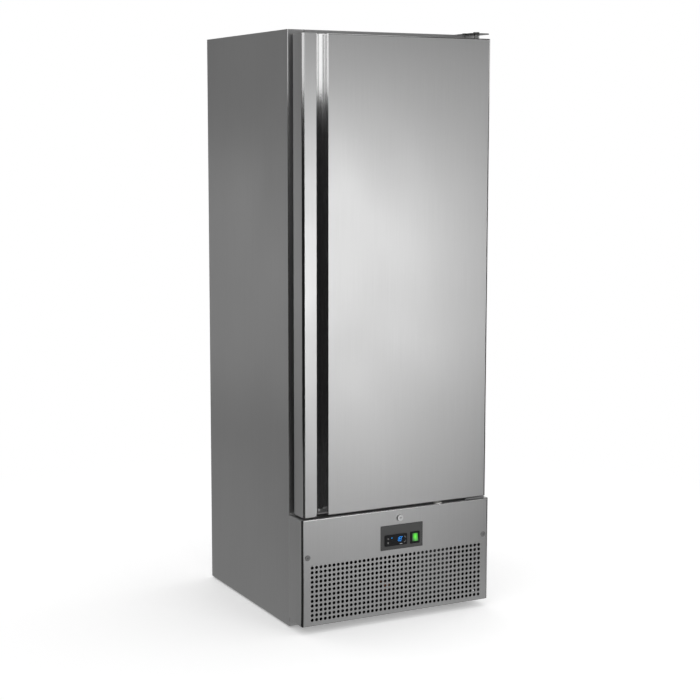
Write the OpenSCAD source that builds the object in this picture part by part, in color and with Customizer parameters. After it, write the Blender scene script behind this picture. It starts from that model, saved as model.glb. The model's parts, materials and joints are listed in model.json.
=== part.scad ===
// Upright storage refrigerator with one solid door, a full-height grip channel
// and a perforated lower panel that holds the controls and the lock.
// X runs to the right, Y to the back and Z up. The origin is on the floor,
// under the middle of the whole refrigerator. All sizes are in millimetres.

/* [Cabinet] */
// Width of the cabinet
cab_w = 690; // [670:5:760]
// Depth of the cabinet box, without door and lower panel
cab_d = 645; // [630:5:720]
// Height of the cabinet box
cab_h = 1880; // [1850:10:1960]
// Thickness of the insulated walls, with both skins
wall_t = 60; // [56:1:64]
// Thickness of the sheet steel
sheet_t = 1; // [0.8:0.1:1.2]
// Radius of the folds along the upright edges of the side panels
side_fold_r = 2; // [1.5:0.1:3]
// Width of the folded edge at the back of a side panel
back_fold_w = 20; // [15:1:25]
// Height of the band above the door
top_band_h = 15; // [13:1:20]
// Width of the plastic strip around the storage opening
breaker_w = 4; // [3:0.5:5]
// Depth of the plastic strip around the storage opening
breaker_d = 15; // [12:1:20]
// Height of the rail under the storage opening
rail_h = 90; // [86:1:100]
// Overlap of the door over the sill of the storage opening
sill_overlap = 45; // [40:1:50]
// Distance the cord's gland stands behind the cabinet
gland_proud = 8; // [6:1:10]

/* [Base] */
// Height of the levelling feet under the base
foot_h = 6; // [5:1:10]
// Diameter of a levelling foot
foot_d = 40; // [32:1:50]
// Distance of a foot's centre from the cabinet's outer faces
foot_inset = 60; // [50:1:80]
// Diameter of a foot's threaded stem
stem_d = 10; // [8:1:12]
// Length of a foot's stem above the base sheet
stem_l = 34; // [28:1:40]
// Thickness of the base sheet
base_t = 2; // [1.5:0.5:3]
// Height of the base's turned-up edges
base_edge_h = 24; // [20:1:30]

/* [Door] */
// Thickness of the door shell
door_t = 65; // [60:1:75]
// Gap between the closed door shell and the cabinet
gasket_gap = 20; // [13:0.5:22]
// Distance from the cabinet's side to the door's side
door_inset = 9; // [7:1:12]
// Gap between the door and the lower panel
door_gap = 6; // [5.5:0.5:9]
// Radius of the door's upright edges
door_edge_r = 9; // [4:0.5:10]
// Radius of the fold along the door's top and bottom edges
door_fold_r = 3; // [2:0.5:4]
// Radius of the door's corners, seen from the front
door_corner_r = 6; // [5:0.5:8]
// Width of the upright strip left of the grip channel
strip_w = 47; // [42:1:56]
// Width of the grip channel
channel_w = 41; // [36:1:46]
// Depth of the grip channel
channel_d = 28; // [24:1:34]
// Radius of the rolled lips along the grip channel
lip_r = 3; // [2:0.5:4]
// Radius of the strip's lower inner corner
strip_corner_r = 10; // [6:1:14]
// Thickness of the end caps of strip and channel
cap_t = 3; // [2:0.5:4]
// Height of the channel's floor above the door's bottom edge
floor_rise = 7; // [5:0.5:10]
// Height of the raised field on the inside of the door
field_h = 28; // [22:1:34]
// Distance from the storage opening's edge to the raised field
field_inset = 22; // [20:1:30]
// Width of the door gasket
gasket_w = 17; // [14:1:18]

/* [Hinges] */
// Distance from the door's hinge side to the pivot
pivot_x = 32; // [30:1:34]
// Distance from the cabinet's front to the pivot
pivot_y = 45; // [44:1:48]
// Diameter of the hinge pins
pin_d = 12; // [10:1:14]
// Radial clearance between pin and bush
pin_play = 0.05; // [0.02:0.01:0.09]
// Outer diameter of the hinge bushes
bush_d = 20; // [18:1:22]
// Length of the hinge bushes
bush_l = 22; // [18:1:28]
// Thickness of the top hinge plate
plate_t = 3; // [3:0.5:5]
// Width of the top hinge plate
plate_w = 70; // [66:1:80]
// Length of the top hinge plate that lies on the cabinet
plate_back = 62; // [56:1:80]
// Thickness of the bottom hinge bracket
bracket_t = 3; // [2:0.5:4]
// Width of the bottom hinge bracket
bracket_w = 72; // [70:1:84]
// Height of the bracket's flange on the cabinet
bracket_h = 58; // [50:1:70]
// Size of the hinge bolts' hexagon heads
bolt_head_d = 17; // [14:1:19]

/* [Lower panel] */
// Height of the lower panel
panel_h = 345; // [335:1:360]
// Height of the lower panel's bottom edge above the cabinet's bottom
panel_lift = 20; // [15:1:26]
// Distance the lower panel stands in front of the cabinet
panel_proud = 90; // [88:1:100]
// Radius of the panel's upright folds
panel_edge_r = 9; // [4:0.5:10]
// Radius of the fold along the panel's top and bottom edges
panel_fold_r = 3; // [2:0.5:4]
// Radius of the panel's corners, seen from the front
panel_corner_r = 5; // [4:0.5:7]
// Radius of the lower back corner of the panel's side folds
panel_back_r = 14; // [8:1:20]
// Depth of the panel's bottom fold
panel_bottom_d = 20; // [15:1:30]
// Distance from the cabinet's sides to the outer vent holes' centres
vent_margin = 35; // [30:1:45]
// Least distance from the dark plate down to the vent holes' centres
vent_clear = 20; // [16:1:30]
// Distance between vent holes, centre to centre
vent_pitch = 15.4; // [14:0.1:18]
// Diameter of a vent hole
vent_d = 10.5; // [7:0.5:12]
// Height of the lowest row of vent holes above the panel's bottom
vent_rise = 20; // [18:1:24]
// Distance of the panel's screws from the cabinet's sides
screw_x = 21; // [18:1:24]
// Height of the panel's screws above the dark plate's lower edge
screw_rise = 10; // [4:1:20]
// Diameter of the caps over the panel's screws
screw_cap_d = 18.5; // [15:0.5:20]
// Outer diameter of the bright ring in the panel's top
ring_d = 28; // [24:1:32]
// Distance of the ring right of the refrigerator's middle
ring_x = 157; // [140:1:170]
// Distance of the ring behind the panel's front
ring_back = 16; // [15:1:24]

/* [Controls] */
// Width of the dark plate behind the controls
ctl_w = 155; // [150:1:170]
// Height of the dark plate behind the controls
ctl_h = 81; // [78:1:90]
// Thickness of the dark plate
ctl_t = 1.2; // [0.8:0.1:2]
// Distance of the dark plate's middle right of the refrigerator's middle
ctl_x = 14; // [0:1:30]
// Distance of the dark plate's upper edge below the panel's top
ctl_drop = 51; // [48:1:56]
// Width of the temperature controller's bezel
bezel_w = 82; // [80:1:84]
// Height of the temperature controller's bezel
bezel_h = 36.5; // [36:0.5:40]
// Thickness of the temperature controller's bezel
bezel_t = 3.5; // [3:0.5:4.5]
// Depth of the controller's case behind the dark plate
case_d = 58; // [45:1:62]
// Width of the controller's display window
display_w = 46; // [40:1:46]
// Height of the controller's display window
display_h = 20; // [16:1:24]
// Width of a controller key
key_w = 8; // [6:0.5:9]
// Height of a controller key
key_h = 7; // [5:0.5:8]
// Distance a key stands proud of the bezel
key_proud = 0.6; // [0.5:0.1:1]
// Clearance around a key
key_play = 0.15; // [0.1:0.05:0.25]
// Width of the power switch's frame
switch_w = 34; // [32:1:38]
// Height of the power switch's frame
switch_h = 39; // [36:1:42]
// Thickness of the power switch's frame
switch_t = 3; // [2.5:0.5:4]
// Width of the rocker
rocker_w = 21; // [18:1:23]
// Height of the rocker
rocker_h = 25; // [22:1:26]
// Tilt of the rocker to each side
rocker_tilt = 10; // [6:1:11]

/* [Lock] */
// Diameter of the lock's collar
lock_d = 23; // [20:1:26]
// Distance the lock's collar stands in front of the panel
lock_proud = 7; // [6.5:0.5:9]
// Distance of the lock's axis below the panel's top
lock_drop = 29; // [26:1:32]
// Distance of the lock's axis right of the refrigerator's middle
lock_x = 6; // [-6:1:16]
// Diameter of the lock's turning barrel
barrel_d = 12; // [10:1:14]
// Length of the lock's cam from the barrel's axis
cam_l = 48; // [46:1:50]
// Width of the lock's cam
cam_w = 16; // [12:1:18]
// Thickness of the lock's cam
cam_t = 3; // [2:0.5:4]
// Distance of the cam behind the panel's front
cam_back = 24; // [20:1:28]

/* [Storage] */
// Diameter of the shelf wires
wire_d = 4; // [3:0.5:5]
// Diameter of the shelf's bars
bar_d = 7; // [6:0.5:8]
// Distance between shelf wires
wire_pitch = 26; // [24:1:34]
// Distance between the slots of the shelf uprights
slot_pitch = 25; // [20:1:30]
// Width of a shelf upright
upright_w = 24; // [20:1:30]
// Depth of a shelf upright
upright_d = 8; // [6:1:10]
// Gap between shelf and shelf uprights
shelf_gap = 3; // [2:0.5:5]

/* [Cooling unit] */
// Width of the evaporator's cover
evap_w = 460; // [440:5:480]
// Depth of the evaporator's cover
evap_d = 300; // [290:5:320]
// Height of the evaporator's cover
evap_h = 150; // [146:1:165]
// Diameter of the evaporator's fan
evap_fan_d = 110; // [100:1:114]
// Width and height of the condenser
cond_w = 260; // [250:1:270]
// Depth of the condenser
cond_d = 70; // [60:1:80]
// Diameter of the condenser's fan
cond_fan_d = 214; // [200:1:220]
// Diameter of the compressor
comp_d = 170; // [160:1:180]
// Height of the compressor's shell
comp_h = 190; // [180:1:205]
// Radius of the refrigerant pipes
pipe_r = 4; // [3:0.5:4.5]
// Number of fins on each coil
fin_count = 18; // [14:1:22]

/* [Hidden] */
$fn = 48;

// Clearances: a seated piece's gap, a case in its cut-out, and a cut's overshoot
seat_gap = 0.3;
case_play = 0.5;
over = 1;
elbow_share = 1.2;

seam = 0.1;

// Planes of the cabinet
x_r = cab_w / 2;
x_l = -x_r;
y_back = (cab_d + panel_proud + lock_proud + gland_proud) / 2 - gland_proud;
y_face = y_back - cab_d;
y_panel = y_face - panel_proud;
z_base = foot_h;
z_top = z_base + cab_h;
panel_z0 = z_base + panel_lift;
panel_z1 = panel_z0 + panel_h;

// Planes of the door
door_x0 = x_l + door_inset;
door_x1 = x_r - door_inset;
door_y1 = y_face - gasket_gap;
door_y0 = door_y1 - door_t;
door_z0 = panel_z1 + door_gap;
door_z1 = z_top - top_band_h;
strip_x1 = door_x0 + strip_w;
skin_x0 = strip_x1 + channel_w;
channel_x = strip_x1 + channel_w / 2;
channel_r = channel_w / 2 - lip_r;
channel_yc = door_y0 + channel_d - channel_r;
pivot = [door_x1 - pivot_x, y_face - pivot_y];

// Storage space inside the liner
in_x = x_r - wall_t;
in_y1 = y_back - wall_t;
in_z0 = door_z0 + sill_overlap;
in_z1 = z_top - wall_t;
deck_z = in_z0 - wall_t;
frame_x = in_x + breaker_w;

// Grille, screws and cut-outs of the lower panel
plate_z0 = panel_z1 - ctl_drop - ctl_h;
vent_z0 = panel_z0 + vent_rise;
vent_cols = floor((cab_w - 2 * vent_margin) / vent_pitch) + 1;
vent_rows = floor((plate_z0 - vent_clear - vent_z0) / vent_pitch) + 1;
screw_z = plate_z0 + screw_rise;
screw_d = 5;
screw_l = 14;
cap_h = 1.2;
cap_dome = 1;
bracket_wall = 1.5;
bracket_leg = 22;
bracket_rise = 50;
plate_x0 = ctl_x - ctl_w / 2;
plate_y = y_panel - ctl_t;
bezel_x0 = plate_x0 + 14;
bezel_z0 = plate_z0 + 13;
bezel_zc = bezel_z0 + bezel_h / 2;
bezel_xc = bezel_x0 + bezel_w / 2;
case_w = bezel_w - 11;
case_h = bezel_h - 8;
case_x0 = bezel_xc - case_w / 2;
case_z0 = bezel_zc - case_h / 2;
switch_x0 = bezel_x0 + bezel_w + 13;
switch_z0 = bezel_z0 - 1;
switch_xc = switch_x0 + switch_w / 2;
switch_zc = switch_z0 + switch_h / 2;
switch_hole_w = rocker_w + 5;
switch_hole_h = rocker_h + 8;
switch_depth = 24;
rocker_y = plate_y + 2;
rocker_play = 0.4;
rocker_pin_r = 1.5;
display_shift = 5.5;
key_shift = 1.75;
key_dx = bezel_w / 2 - 9.25;
key_dz = 6.5;
key_depth = 2.4;
key_pocket = bezel_t - 0.1;
display_t = 1.5;
bezel_edge_r = 1.5;
bezel_corner_r = 4;

// Ring in the panel's top
ring_y = y_panel + ring_back;

// Lock
lock_z = panel_z1 - lock_drop;
cam_y = y_panel + cam_back;
cam_reach = norm([cam_l, cam_w / 2]);
lock_body_d = 18.8;

// Hinges
plate_x1 = x_r;
plate_corner_r = 12;
hinge_bolt_places = [[pivot[0] - 4, y_face + 20], [pivot[0] + 10, y_face + 45]];
bolt_head_h = 3.5;
bolt_d = 6;
bracket_x1 = door_x1 - 3;
bracket_x0 = bracket_x1 - bracket_w;
bracket_z0 = panel_z1 + seat_gap;
bracket_z1 = bracket_z0 + bracket_t;
tongue_y0 = door_y0 + 5;
bracket_bolts = [[bracket_x0 + 14, bracket_z1 - 36], [bracket_x1 - 14, bracket_z1 - 36]];
collar_d = 19;
pin_head_d = 20;
pin_head_h = 4;

// Shelves and their uprights
shelf_count = 4;
upright_y = [y_face + 90, in_y1 - 90];
upright_z0 = in_z0 + 20;
upright_wall = 1.2;
slot_h = 4;
slot_w = 12;
evap_z0 = in_z1 - evap_h;
slot_total = floor((evap_z0 - upright_z0) / slot_pitch);
function slot_z(i) =
    upright_z0 + slot_pitch * (floor(i * slot_total / (shelf_count + 1)) + 0.5);
clip_t = 3;
clip_l = 14;
weld = 0.6;
rail_rise = bar_d / 2 + wire_d / 2 - weld;
shelf_x = in_x - upright_d - shelf_gap;
shelf_y = [y_face + 32, in_y1 - 26];

// Cooling unit
deck_clear = z_base + base_t;
evap_y0 = in_y1 - evap_d;
evap_fan_y = evap_y0 + 6;
evap_zc = in_z1 - evap_h / 2;
evap_sheet = 1.2;
coil_x = 180;
coil_d = 90;
fin_t = 0.8;
coil_tube_r = 4.5;
cond_x1 = -10;
cond_x0 = cond_x1 - cond_w;
cond_y0 = y_face + 20;
cond_y1 = cond_y0 + cond_d;
cond_xc = (cond_x0 + cond_x1) / 2;
cond_zc = deck_clear + cond_w / 2;
shroud_l = 32;
shroud_t = 2;
shroud_gap = 4;
evap_fan_h = 20;
evap_hub_d = 34;
evap_motor_d = 52;
cond_fan_h = 24;
cond_hub_d = 50;
cond_motor_d = 84;
cond_motor_l = 56;
arm_w = 12;
discharge_rise = 96;
shaft_r = 4;
shaft_play = 0.05;
comp_x = x_r - 175;
comp_y = y_back - 247;
comp_lift = 14;
comp_round = 38;
stub_l = 12;
stub_rise = 110;
liquid_r = 3;
chase_x = 205;
chase_half = 16;
chase_y = y_back - wall_t / 2;
pipe_dx = 8;
suction_z = evap_zc - 30;
liquid_z = evap_zc + 20;
coil_yc = in_y1 - 70;
drier_x = 60;
drier_l = 110;
drier_r = 13;
liquid_floor_z = deck_clear + 50;
foot_clear = foot_inset + stem_d + 15;
drain_x = x_l + foot_clear + 85;
drain_y = in_y1 - 10;
drain_r = 6;
drain_bore_r = 4.5;
probe_x = 140;
probe_l = 42;
probe_r = 3;
probe_drop = 8;
tray_wall = 2;
tray_lo = [drain_x - 85, drain_y - 130, deck_clear];
tray_hi = [drain_x + 85, drain_y + 35, deck_clear + 40];
ebox_w = 130;
ebox_h = 180;
ebox_t = 3;
ebox_hi = [x_r - foot_clear, y_face + 150, deck_clear + ebox_h];
ebox_lo = [ebox_hi[0] - ebox_w, y_face + 25, deck_clear];
gland_x = x_l + foot_inset + 45;
gland_z = z_base + 70;
gland_r = 12;
cord_hole_r = 4.5;

// Block between two corners
module block(lo, hi) {
    translate(lo) cube(hi - lo);
}

// Outline with round corners between two corners
module round_rect(lo, hi, r) {
    translate([lo[0] + r, lo[1]]) square([hi[0] - lo[0] - 2 * r, hi[1] - lo[1]]);
    translate([lo[0], lo[1] + r]) square([hi[0] - lo[0], hi[1] - lo[1] - 2 * r]);
    for (x = [lo[0] + r, hi[0] - r], y = [lo[1] + r, hi[1] - r])
        translate([x, y]) circle(r);
}

// Outline in X and Z, carried from y0 to y1
module along_y(y0, y1) {
    translate([0, y1, 0]) rotate([90, 0, 0]) linear_extrude(y1 - y0) children();
}

// Outline in Y and Z, carried from x0 to x1
module along_x(x0, x1) {
    translate([x0, 0, 0]) rotate([90, 0, 90]) linear_extrude(x1 - x0) children();
}

// Block whose front edges are rounded: upright, lying, and at the corners seen from the front
module rounded_block(lo, hi, r_up, r_lying, r_corner) {
    intersection() {
        translate([0, 0, lo[2]]) linear_extrude(hi[2] - lo[2])
            round_rect([lo[0], lo[1]], [hi[0], hi[1] + 2 * r_up], r_up);
        along_x(lo[0], hi[0])
            round_rect([lo[1], lo[2]], [hi[1] + 2 * r_lying, hi[2]], r_lying);
        along_y(lo[1], hi[1])
            round_rect([lo[0], lo[2]], [hi[0], hi[2]], r_corner);
    }
}

// Folded cover, open at the back
module folded_cover(lo, hi, t, r_up, r_lying, r_corner) {
    difference() {
        rounded_block(lo, hi, r_up, r_lying, r_corner);
        rounded_block(lo + [t, t, t], hi + [-t, over, -t], r_up - t, r_lying - t, r_corner - t);
    }
}

// Round rod between two points
module rod(a, b, r) {
    d = b - a;
    translate(a) rotate([0, acos(d[2] / norm(d)), atan2(d[1], d[0])]) cylinder(h = norm(d), r = r);
}

// Pipe through a list of points, with a slightly thicker brazed elbow at each bend
module pipe(points, r) {
    for (i = [0 : len(points) - 2]) rod(points[i], points[i + 1], r);
    for (i = [1 : len(points) - 2]) translate(points[i]) sphere(r * elbow_share);
}

// Fan wheel on the Z axis with a blind bore for the motor's shaft
module fan_wheel(d, hub_d, h, blades, pitch) {
    difference() {
        union() {
            cylinder(h = h, d = hub_d);
            intersection() {
                cylinder(h = h, d = d);
                for (i = [0 : blades - 1]) rotate([0, 0, i * 360 / blades])
                    translate([hub_d / 2 - 2, 0, h / 2]) rotate([pitch, 0, 0])
                        translate([0, -0.28 * d, -1]) cube([d / 2, 0.42 * d, 2]);
            }
        }
        translate([0, 0, -over]) cylinder(h = h - 6 + over, r = shaft_r + shaft_play);
    }
}

// Coil: fins across X between two end plates, with round tubes through them
module finned_coil(lo, hi, rows, deep, tube_r) {
    step = (hi[0] - lo[0] - fin_t) / (fin_count - 1);
    for (i = [0 : fin_count - 1])
        block([lo[0] + i * step, lo[1], lo[2]], [lo[0] + i * step + fin_t, hi[1], hi[2]]);
    for (r = [0 : rows - 1], c = [0 : deep - 1])
        rod([lo[0] - 6, lo[1] + (c + 0.5) * (hi[1] - lo[1]) / deep,
             lo[2] + (r + 0.5) * (hi[2] - lo[2]) / rows],
            [hi[0] + 6, lo[1] + (c + 0.5) * (hi[1] - lo[1]) / deep,
             lo[2] + (r + 0.5) * (hi[2] - lo[2]) / rows], tube_r);
}

// Plan of everything inside the side panels' folds
module inside_plan() {
    round_rect([x_l + sheet_t, y_face + sheet_t], [x_r - sheet_t, y_back - sheet_t],
        side_fold_r - sheet_t);
}

// Holes for the bottom hinge's bolts
module bracket_bolt_holes() {
    along_y(y_face - bracket_t - over, y_face + sheet_t + over)
        for (p = bracket_bolts) translate(p) circle(d = bolt_d);
}

// Side panel with its front and back folds, as the left one
module side_panel() {
    color([0.62, 0.62, 0.61]) difference() {
        translate([0, 0, z_base]) linear_extrude(cab_h - sheet_t) intersection() {
            difference() {
                round_rect([x_l, y_face], [x_r, y_back], side_fold_r);
                inside_plan();
            }
            union() {
                translate([x_l, y_face]) square([x_r - frame_x, cab_d / 2]);
                translate([x_l, y_face]) square([back_fold_w, cab_d]);
            }
        }
        mirror([1, 0, 0]) bracket_bolt_holes();
    }
}

module side_panel_left() {
    side_panel();
}

module side_panel_right() {
    mirror([1, 0, 0]) side_panel();
}

// Sheet over the insulated part of the back
module back_panel() {
    color([0.7, 0.71, 0.72])
        block([x_l + back_fold_w, y_back - sheet_t, deck_z],
              [x_r - back_fold_w, y_back, z_top - sheet_t]);
}

// Top sheet with the band above the door
module top_panel() {
    color([0.62, 0.62, 0.61]) difference() {
        union() {
            translate([0, 0, z_top - sheet_t]) linear_extrude(sheet_t)
                round_rect([x_l, y_face], [x_r, y_back], side_fold_r);
            block([-frame_x, y_face, in_z1 + breaker_w], [frame_x, y_face + sheet_t, z_top]);
        }
        for (p = hinge_bolt_places) translate([p[0], p[1], z_top - sheet_t - over])
            cylinder(h = sheet_t + 2 * over, d = bolt_d);
    }
}

// Folded sheet: rail under the storage opening and deck over the machine compartment
module machine_deck() {
    color([0.72, 0.73, 0.74]) difference() {
        union() {
            block([-frame_x, y_face, in_z0 - breaker_w - rail_h],
                  [frame_x, y_face + sheet_t, in_z0 - breaker_w]);
            translate([0, 0, deck_z]) linear_extrude(sheet_t) inside_plan();
        }
        bracket_bolt_holes();
        pipe_chase(deck_z - over, deck_z + wall_t / 2);
        drain_hole(deck_z - over, deck_z + wall_t / 2);
    }
}

// Space for the refrigerant pipes in the back wall
module pipe_chase(z0, z1) {
    block([chase_x - chase_half, chase_y - 12, z0], [chase_x + chase_half, chase_y + 12, z1]);
}

// Way of the drain tube through deck and floor
module drain_hole(z0, z1) {
    translate([drain_x, drain_y, z0]) cylinder(h = z1 - z0, r = drain_r + seat_gap);
}

// Way of the pipes from the chase into the evaporator's space
module pipe_window() {
    block([chase_x - chase_half, in_y1 - over, suction_z - 12],
          [chase_x + chase_half, chase_y + 12, liquid_z + 12]);
}

// Base sheet with turned-up edges and holes for the feet
module base_tray() {
    color([0.55, 0.56, 0.57]) translate([0, 0, z_base]) difference() {
        linear_extrude(base_edge_h) inside_plan();
        block([x_l + sheet_t + base_t, y_face + sheet_t + base_t, base_t],
              [x_r - sheet_t - base_t, y_back - sheet_t - base_t, base_edge_h + over]);
        for (x = [x_l + foot_inset, x_r - foot_inset], y = [y_face + foot_inset, y_back - foot_inset])
            translate([x, y, -over]) cylinder(h = base_t + 2 * over, d = stem_d);
    }
}

// Four glides with threaded stems and lock nuts
module levelling_feet() {
    color([0.12, 0.12, 0.12])
        for (x = [x_l + foot_inset, x_r - foot_inset], y = [y_face + foot_inset, y_back - foot_inset])
            translate([x, y, 0]) {
                cylinder(h = foot_h, d = foot_d);
                cylinder(h = foot_h + base_t + stem_l, d = stem_d);
                translate([0, 0, foot_h + base_t]) cylinder(h = 8, d = stem_d * 1.9, $fn = 6);
            }
}

// Foam slabs of the two sides, the back, the ceiling and the floor
module cabinet_insulation() {
    color([0.93, 0.87, 0.62]) {
        z0 = deck_z + sheet_t;
        z1 = z_top - sheet_t;
        slab_x = in_x + sheet_t - seam;
        slab_y = in_y1 + sheet_t - seam;
        for (s = [0, 1]) mirror([s, 0, 0]) difference() {
            intersection() {
                translate([0, 0, z0]) linear_extrude(z1 - z0) inside_plan();
                block([x_l, y_face, z0], [-in_x - sheet_t, y_back, z1]);
            }
            block([-frame_x, y_face - over, z0 - over], [0, y_face + breaker_d, z1 + over]);
        }
        difference() {
            block([-slab_x, in_y1 + sheet_t, z0], [slab_x, y_back - sheet_t, z1]);
            pipe_chase(z0 - over, liquid_z + 12);
            pipe_window();
        }
        difference() {
            block([-slab_x, y_face + sheet_t, in_z1 + sheet_t], [slab_x, slab_y, z1]);
            block([-in_x - wall_t, y_face - over, in_z1], [in_x + wall_t, y_face + breaker_d,
                  in_z1 + breaker_w]);
        }
        difference() {
            block([-slab_x, y_face + sheet_t, z0], [slab_x, slab_y, in_z0 - sheet_t]);
            block([-in_x - wall_t, y_face - over, in_z0 - breaker_w],
                  [in_x + wall_t, y_face + breaker_d, in_z0]);
            drain_hole(z0 - over, in_z0);
        }
    }
}

// Plastic strips between the outer sheets and the liner
module breaker_strips() {
    color([0.25, 0.25, 0.26]) {
        for (s = [-1, 1]) translate([s * (in_x + breaker_w / 2), 0, 0])
            block([-breaker_w / 2, y_face, in_z0 - breaker_w],
                  [breaker_w / 2, y_face + breaker_d, in_z1 + breaker_w]);
        for (z = [in_z0 - breaker_w, in_z1])
            block([-in_x + seam, y_face, z], [in_x - seam, y_face + breaker_d, z + breaker_w]);
    }
}

// Inner sheets: two sides, back, ceiling and floor
module inner_liner() {
    color([0.8, 0.81, 0.82]) {
        y0 = y_face + breaker_d;
        for (s = [0, 1]) mirror([s, 0, 0])
            block([-in_x - sheet_t, y0, in_z0 - sheet_t], [-in_x, in_y1 + sheet_t, in_z1 + sheet_t]);
        difference() {
            block([-in_x + seam, in_y1, in_z0 - sheet_t],
                  [in_x - seam, in_y1 + sheet_t, in_z1 + sheet_t]);
            pipe_window();
        }
        block([-in_x + seam, y0, in_z1], [in_x - seam, in_y1 - seam, in_z1 + sheet_t]);
        difference() {
            block([-in_x + seam, y0, in_z0 - sheet_t], [in_x - seam, in_y1 - seam, in_z0]);
            drain_hole(in_z0 - wall_t, in_z0 + over);
        }
    }
}

// Four slotted uprights on the side walls
module shelf_uprights() {
    color([0.78, 0.79, 0.8]) for (s = [0, 1], y = upright_y) mirror([s, 0, 0]) difference() {
        block([-in_x, y - upright_w / 2, upright_z0], [-in_x + upright_d, y + upright_w / 2,
              in_z1 - 20]);
        block([-in_x - over, y - upright_w / 2 + upright_wall, upright_z0 - over],
              [-in_x + upright_d - upright_wall, y + upright_w / 2 - upright_wall, in_z1]);
        for (i = [0 : slot_total - 1])
            block([-in_x, y - slot_w / 2, upright_z0 + slot_pitch * (i + 0.5) - slot_h / 2],
                  [-in_x + upright_d + over, y + slot_w / 2,
                   upright_z0 + slot_pitch * (i + 0.5) + slot_h / 2]);
    }
}

// Clips in the uprights' slots, four under each shelf
module shelf_clips() {
    color([0.8, 0.8, 0.8]) for (i = [1 : shelf_count], s = [0, 1], y = upright_y)
        mirror([s, 0, 0]) {
            block([-in_x + 1, y - slot_w / 2 + seat_gap, slot_z(i) - clip_t / 2],
                  [-in_x + upright_d, y + slot_w / 2 - seat_gap, slot_z(i) + clip_t / 2]);
            block([-in_x + upright_d, y - slot_w / 2 + seat_gap, slot_z(i) - 9],
                  [-in_x + upright_d + clip_t, y + slot_w / 2 - seat_gap, slot_z(i) + clip_t / 2]);
            block([-in_x + upright_d, y - slot_w / 2 + seat_gap, slot_z(i) - clip_t / 2],
                  [-in_x + upright_d + clip_l, y + slot_w / 2 - seat_gap, slot_z(i) + clip_t / 2]);
        }
}

// Shelf of welded wires on four cross bars, resting on its clips
module wire_shelf(i) {
    bar_z = slot_z(i) + clip_t / 2 + bar_d / 2;
    wire_z = bar_z + rail_rise;
    wires = floor((2 * shelf_x - bar_d - wire_pitch) / wire_pitch);
    color([0.86, 0.86, 0.85]) {
        for (y = [shelf_y[0] + bar_d, upright_y[0], upright_y[1], shelf_y[1] - bar_d])
            rod([-shelf_x, y, bar_z], [shelf_x, y, bar_z], bar_d / 2);
        for (s = [-1, 1])
            rod([s * (shelf_x - bar_d), shelf_y[0], wire_z], [s * (shelf_x - bar_d), shelf_y[1],
                wire_z], bar_d / 2 - weld / 2);
        for (k = [0 : wires - 1])
            rod([(k - (wires - 1) / 2) * wire_pitch, shelf_y[0], wire_z],
                [(k - (wires - 1) / 2) * wire_pitch, shelf_y[1], wire_z], wire_d / 2);
    }
}

module wire_shelf_1() {
    wire_shelf(1);
}

module wire_shelf_2() {
    wire_shelf(2);
}

module wire_shelf_3() {
    wire_shelf(3);
}

module wire_shelf_4() {
    wire_shelf(4);
}

// Cover under the ceiling with the fan's opening in front and slots below
module evaporator_cover() {
    slots = 9;
    color([0.82, 0.83, 0.84]) difference() {
        block([-evap_w / 2, evap_y0, evap_z0], [evap_w / 2, in_y1, in_z1]);
        block([-evap_w / 2 + evap_sheet, evap_y0 + evap_sheet, evap_z0 + evap_sheet],
              [evap_w / 2 - evap_sheet, in_y1 + over, in_z1 + over]);
        translate([0, evap_y0 - over, evap_zc]) rotate([-90, 0, 0])
            cylinder(h = evap_sheet + 2 * over, d = evap_fan_d + 8);
        for (k = [0 : slots - 1])
            block([-evap_w / 2 + 40 + k * (evap_w - 120) / (slots - 1), evap_y0 + 90, evap_z0 - over],
                  [-evap_w / 2 + 52 + k * (evap_w - 120) / (slots - 1), evap_y0 + 160,
                   evap_z0 + evap_sheet + over]);
        translate([drain_x, drain_y, evap_z0 - over])
            cylinder(h = evap_sheet + 2 * over, r = drain_bore_r);
    }
}

module evaporator_coil() {
    color([0.75, 0.77, 0.79]) {
        finned_coil([-coil_x, coil_yc - coil_d / 2, evap_z0 + evap_sheet],
                    [coil_x, coil_yc + coil_d / 2, in_z1 - 12], 3, 2, coil_tube_r);
        rod([coil_x - fin_t, coil_yc, suction_z], [coil_x + stub_l, coil_yc, suction_z], pipe_r);
        rod([coil_x - fin_t, coil_yc, liquid_z], [coil_x + stub_l, coil_yc, liquid_z], liquid_r);
    }
}

// Motor of a fan: round body, shaft towards -Y and its foot or arms as children
module fan_motor(y0, y1, d, xc, zc, shaft_y) {
    translate([xc, y0, zc]) rotate([-90, 0, 0]) cylinder(h = y1 - y0, d = d);
    translate([xc, shaft_y, zc]) rotate([-90, 0, 0]) cylinder(h = y0 - shaft_y + over, r = shaft_r);
    children();
}

module evaporator_fan_motor() {
    y0 = evap_fan_y + evap_fan_h + 6;
    color([0.2, 0.2, 0.21])
        fan_motor(y0, y0 + 44, evap_motor_d, 0, evap_zc, y0 - evap_fan_h + 4)
            block([-evap_motor_d / 3, y0 + 10, evap_z0 + evap_sheet],
                  [evap_motor_d / 3, y0 + 24, evap_zc - evap_motor_d / 3]);
}

module evaporator_fan() {
    color([0.15, 0.15, 0.16]) translate([0, evap_fan_y + evap_fan_h + 2, evap_zc])
        rotate([90, 0, 0]) fan_wheel(evap_fan_d, evap_hub_d, evap_fan_h, 5, 28);
}

// Tube that leads defrost water to the tray in the machine compartment
module drain_tube() {
    color([0.9, 0.9, 0.88]) translate([drain_x, drain_y, tray_hi[2] + 12]) difference() {
        cylinder(h = evap_z0 - tray_hi[2] - 12, r = drain_r);
        translate([0, 0, -over]) cylinder(h = evap_z0 - tray_hi[2], r = drain_bore_r);
    }
}

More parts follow.
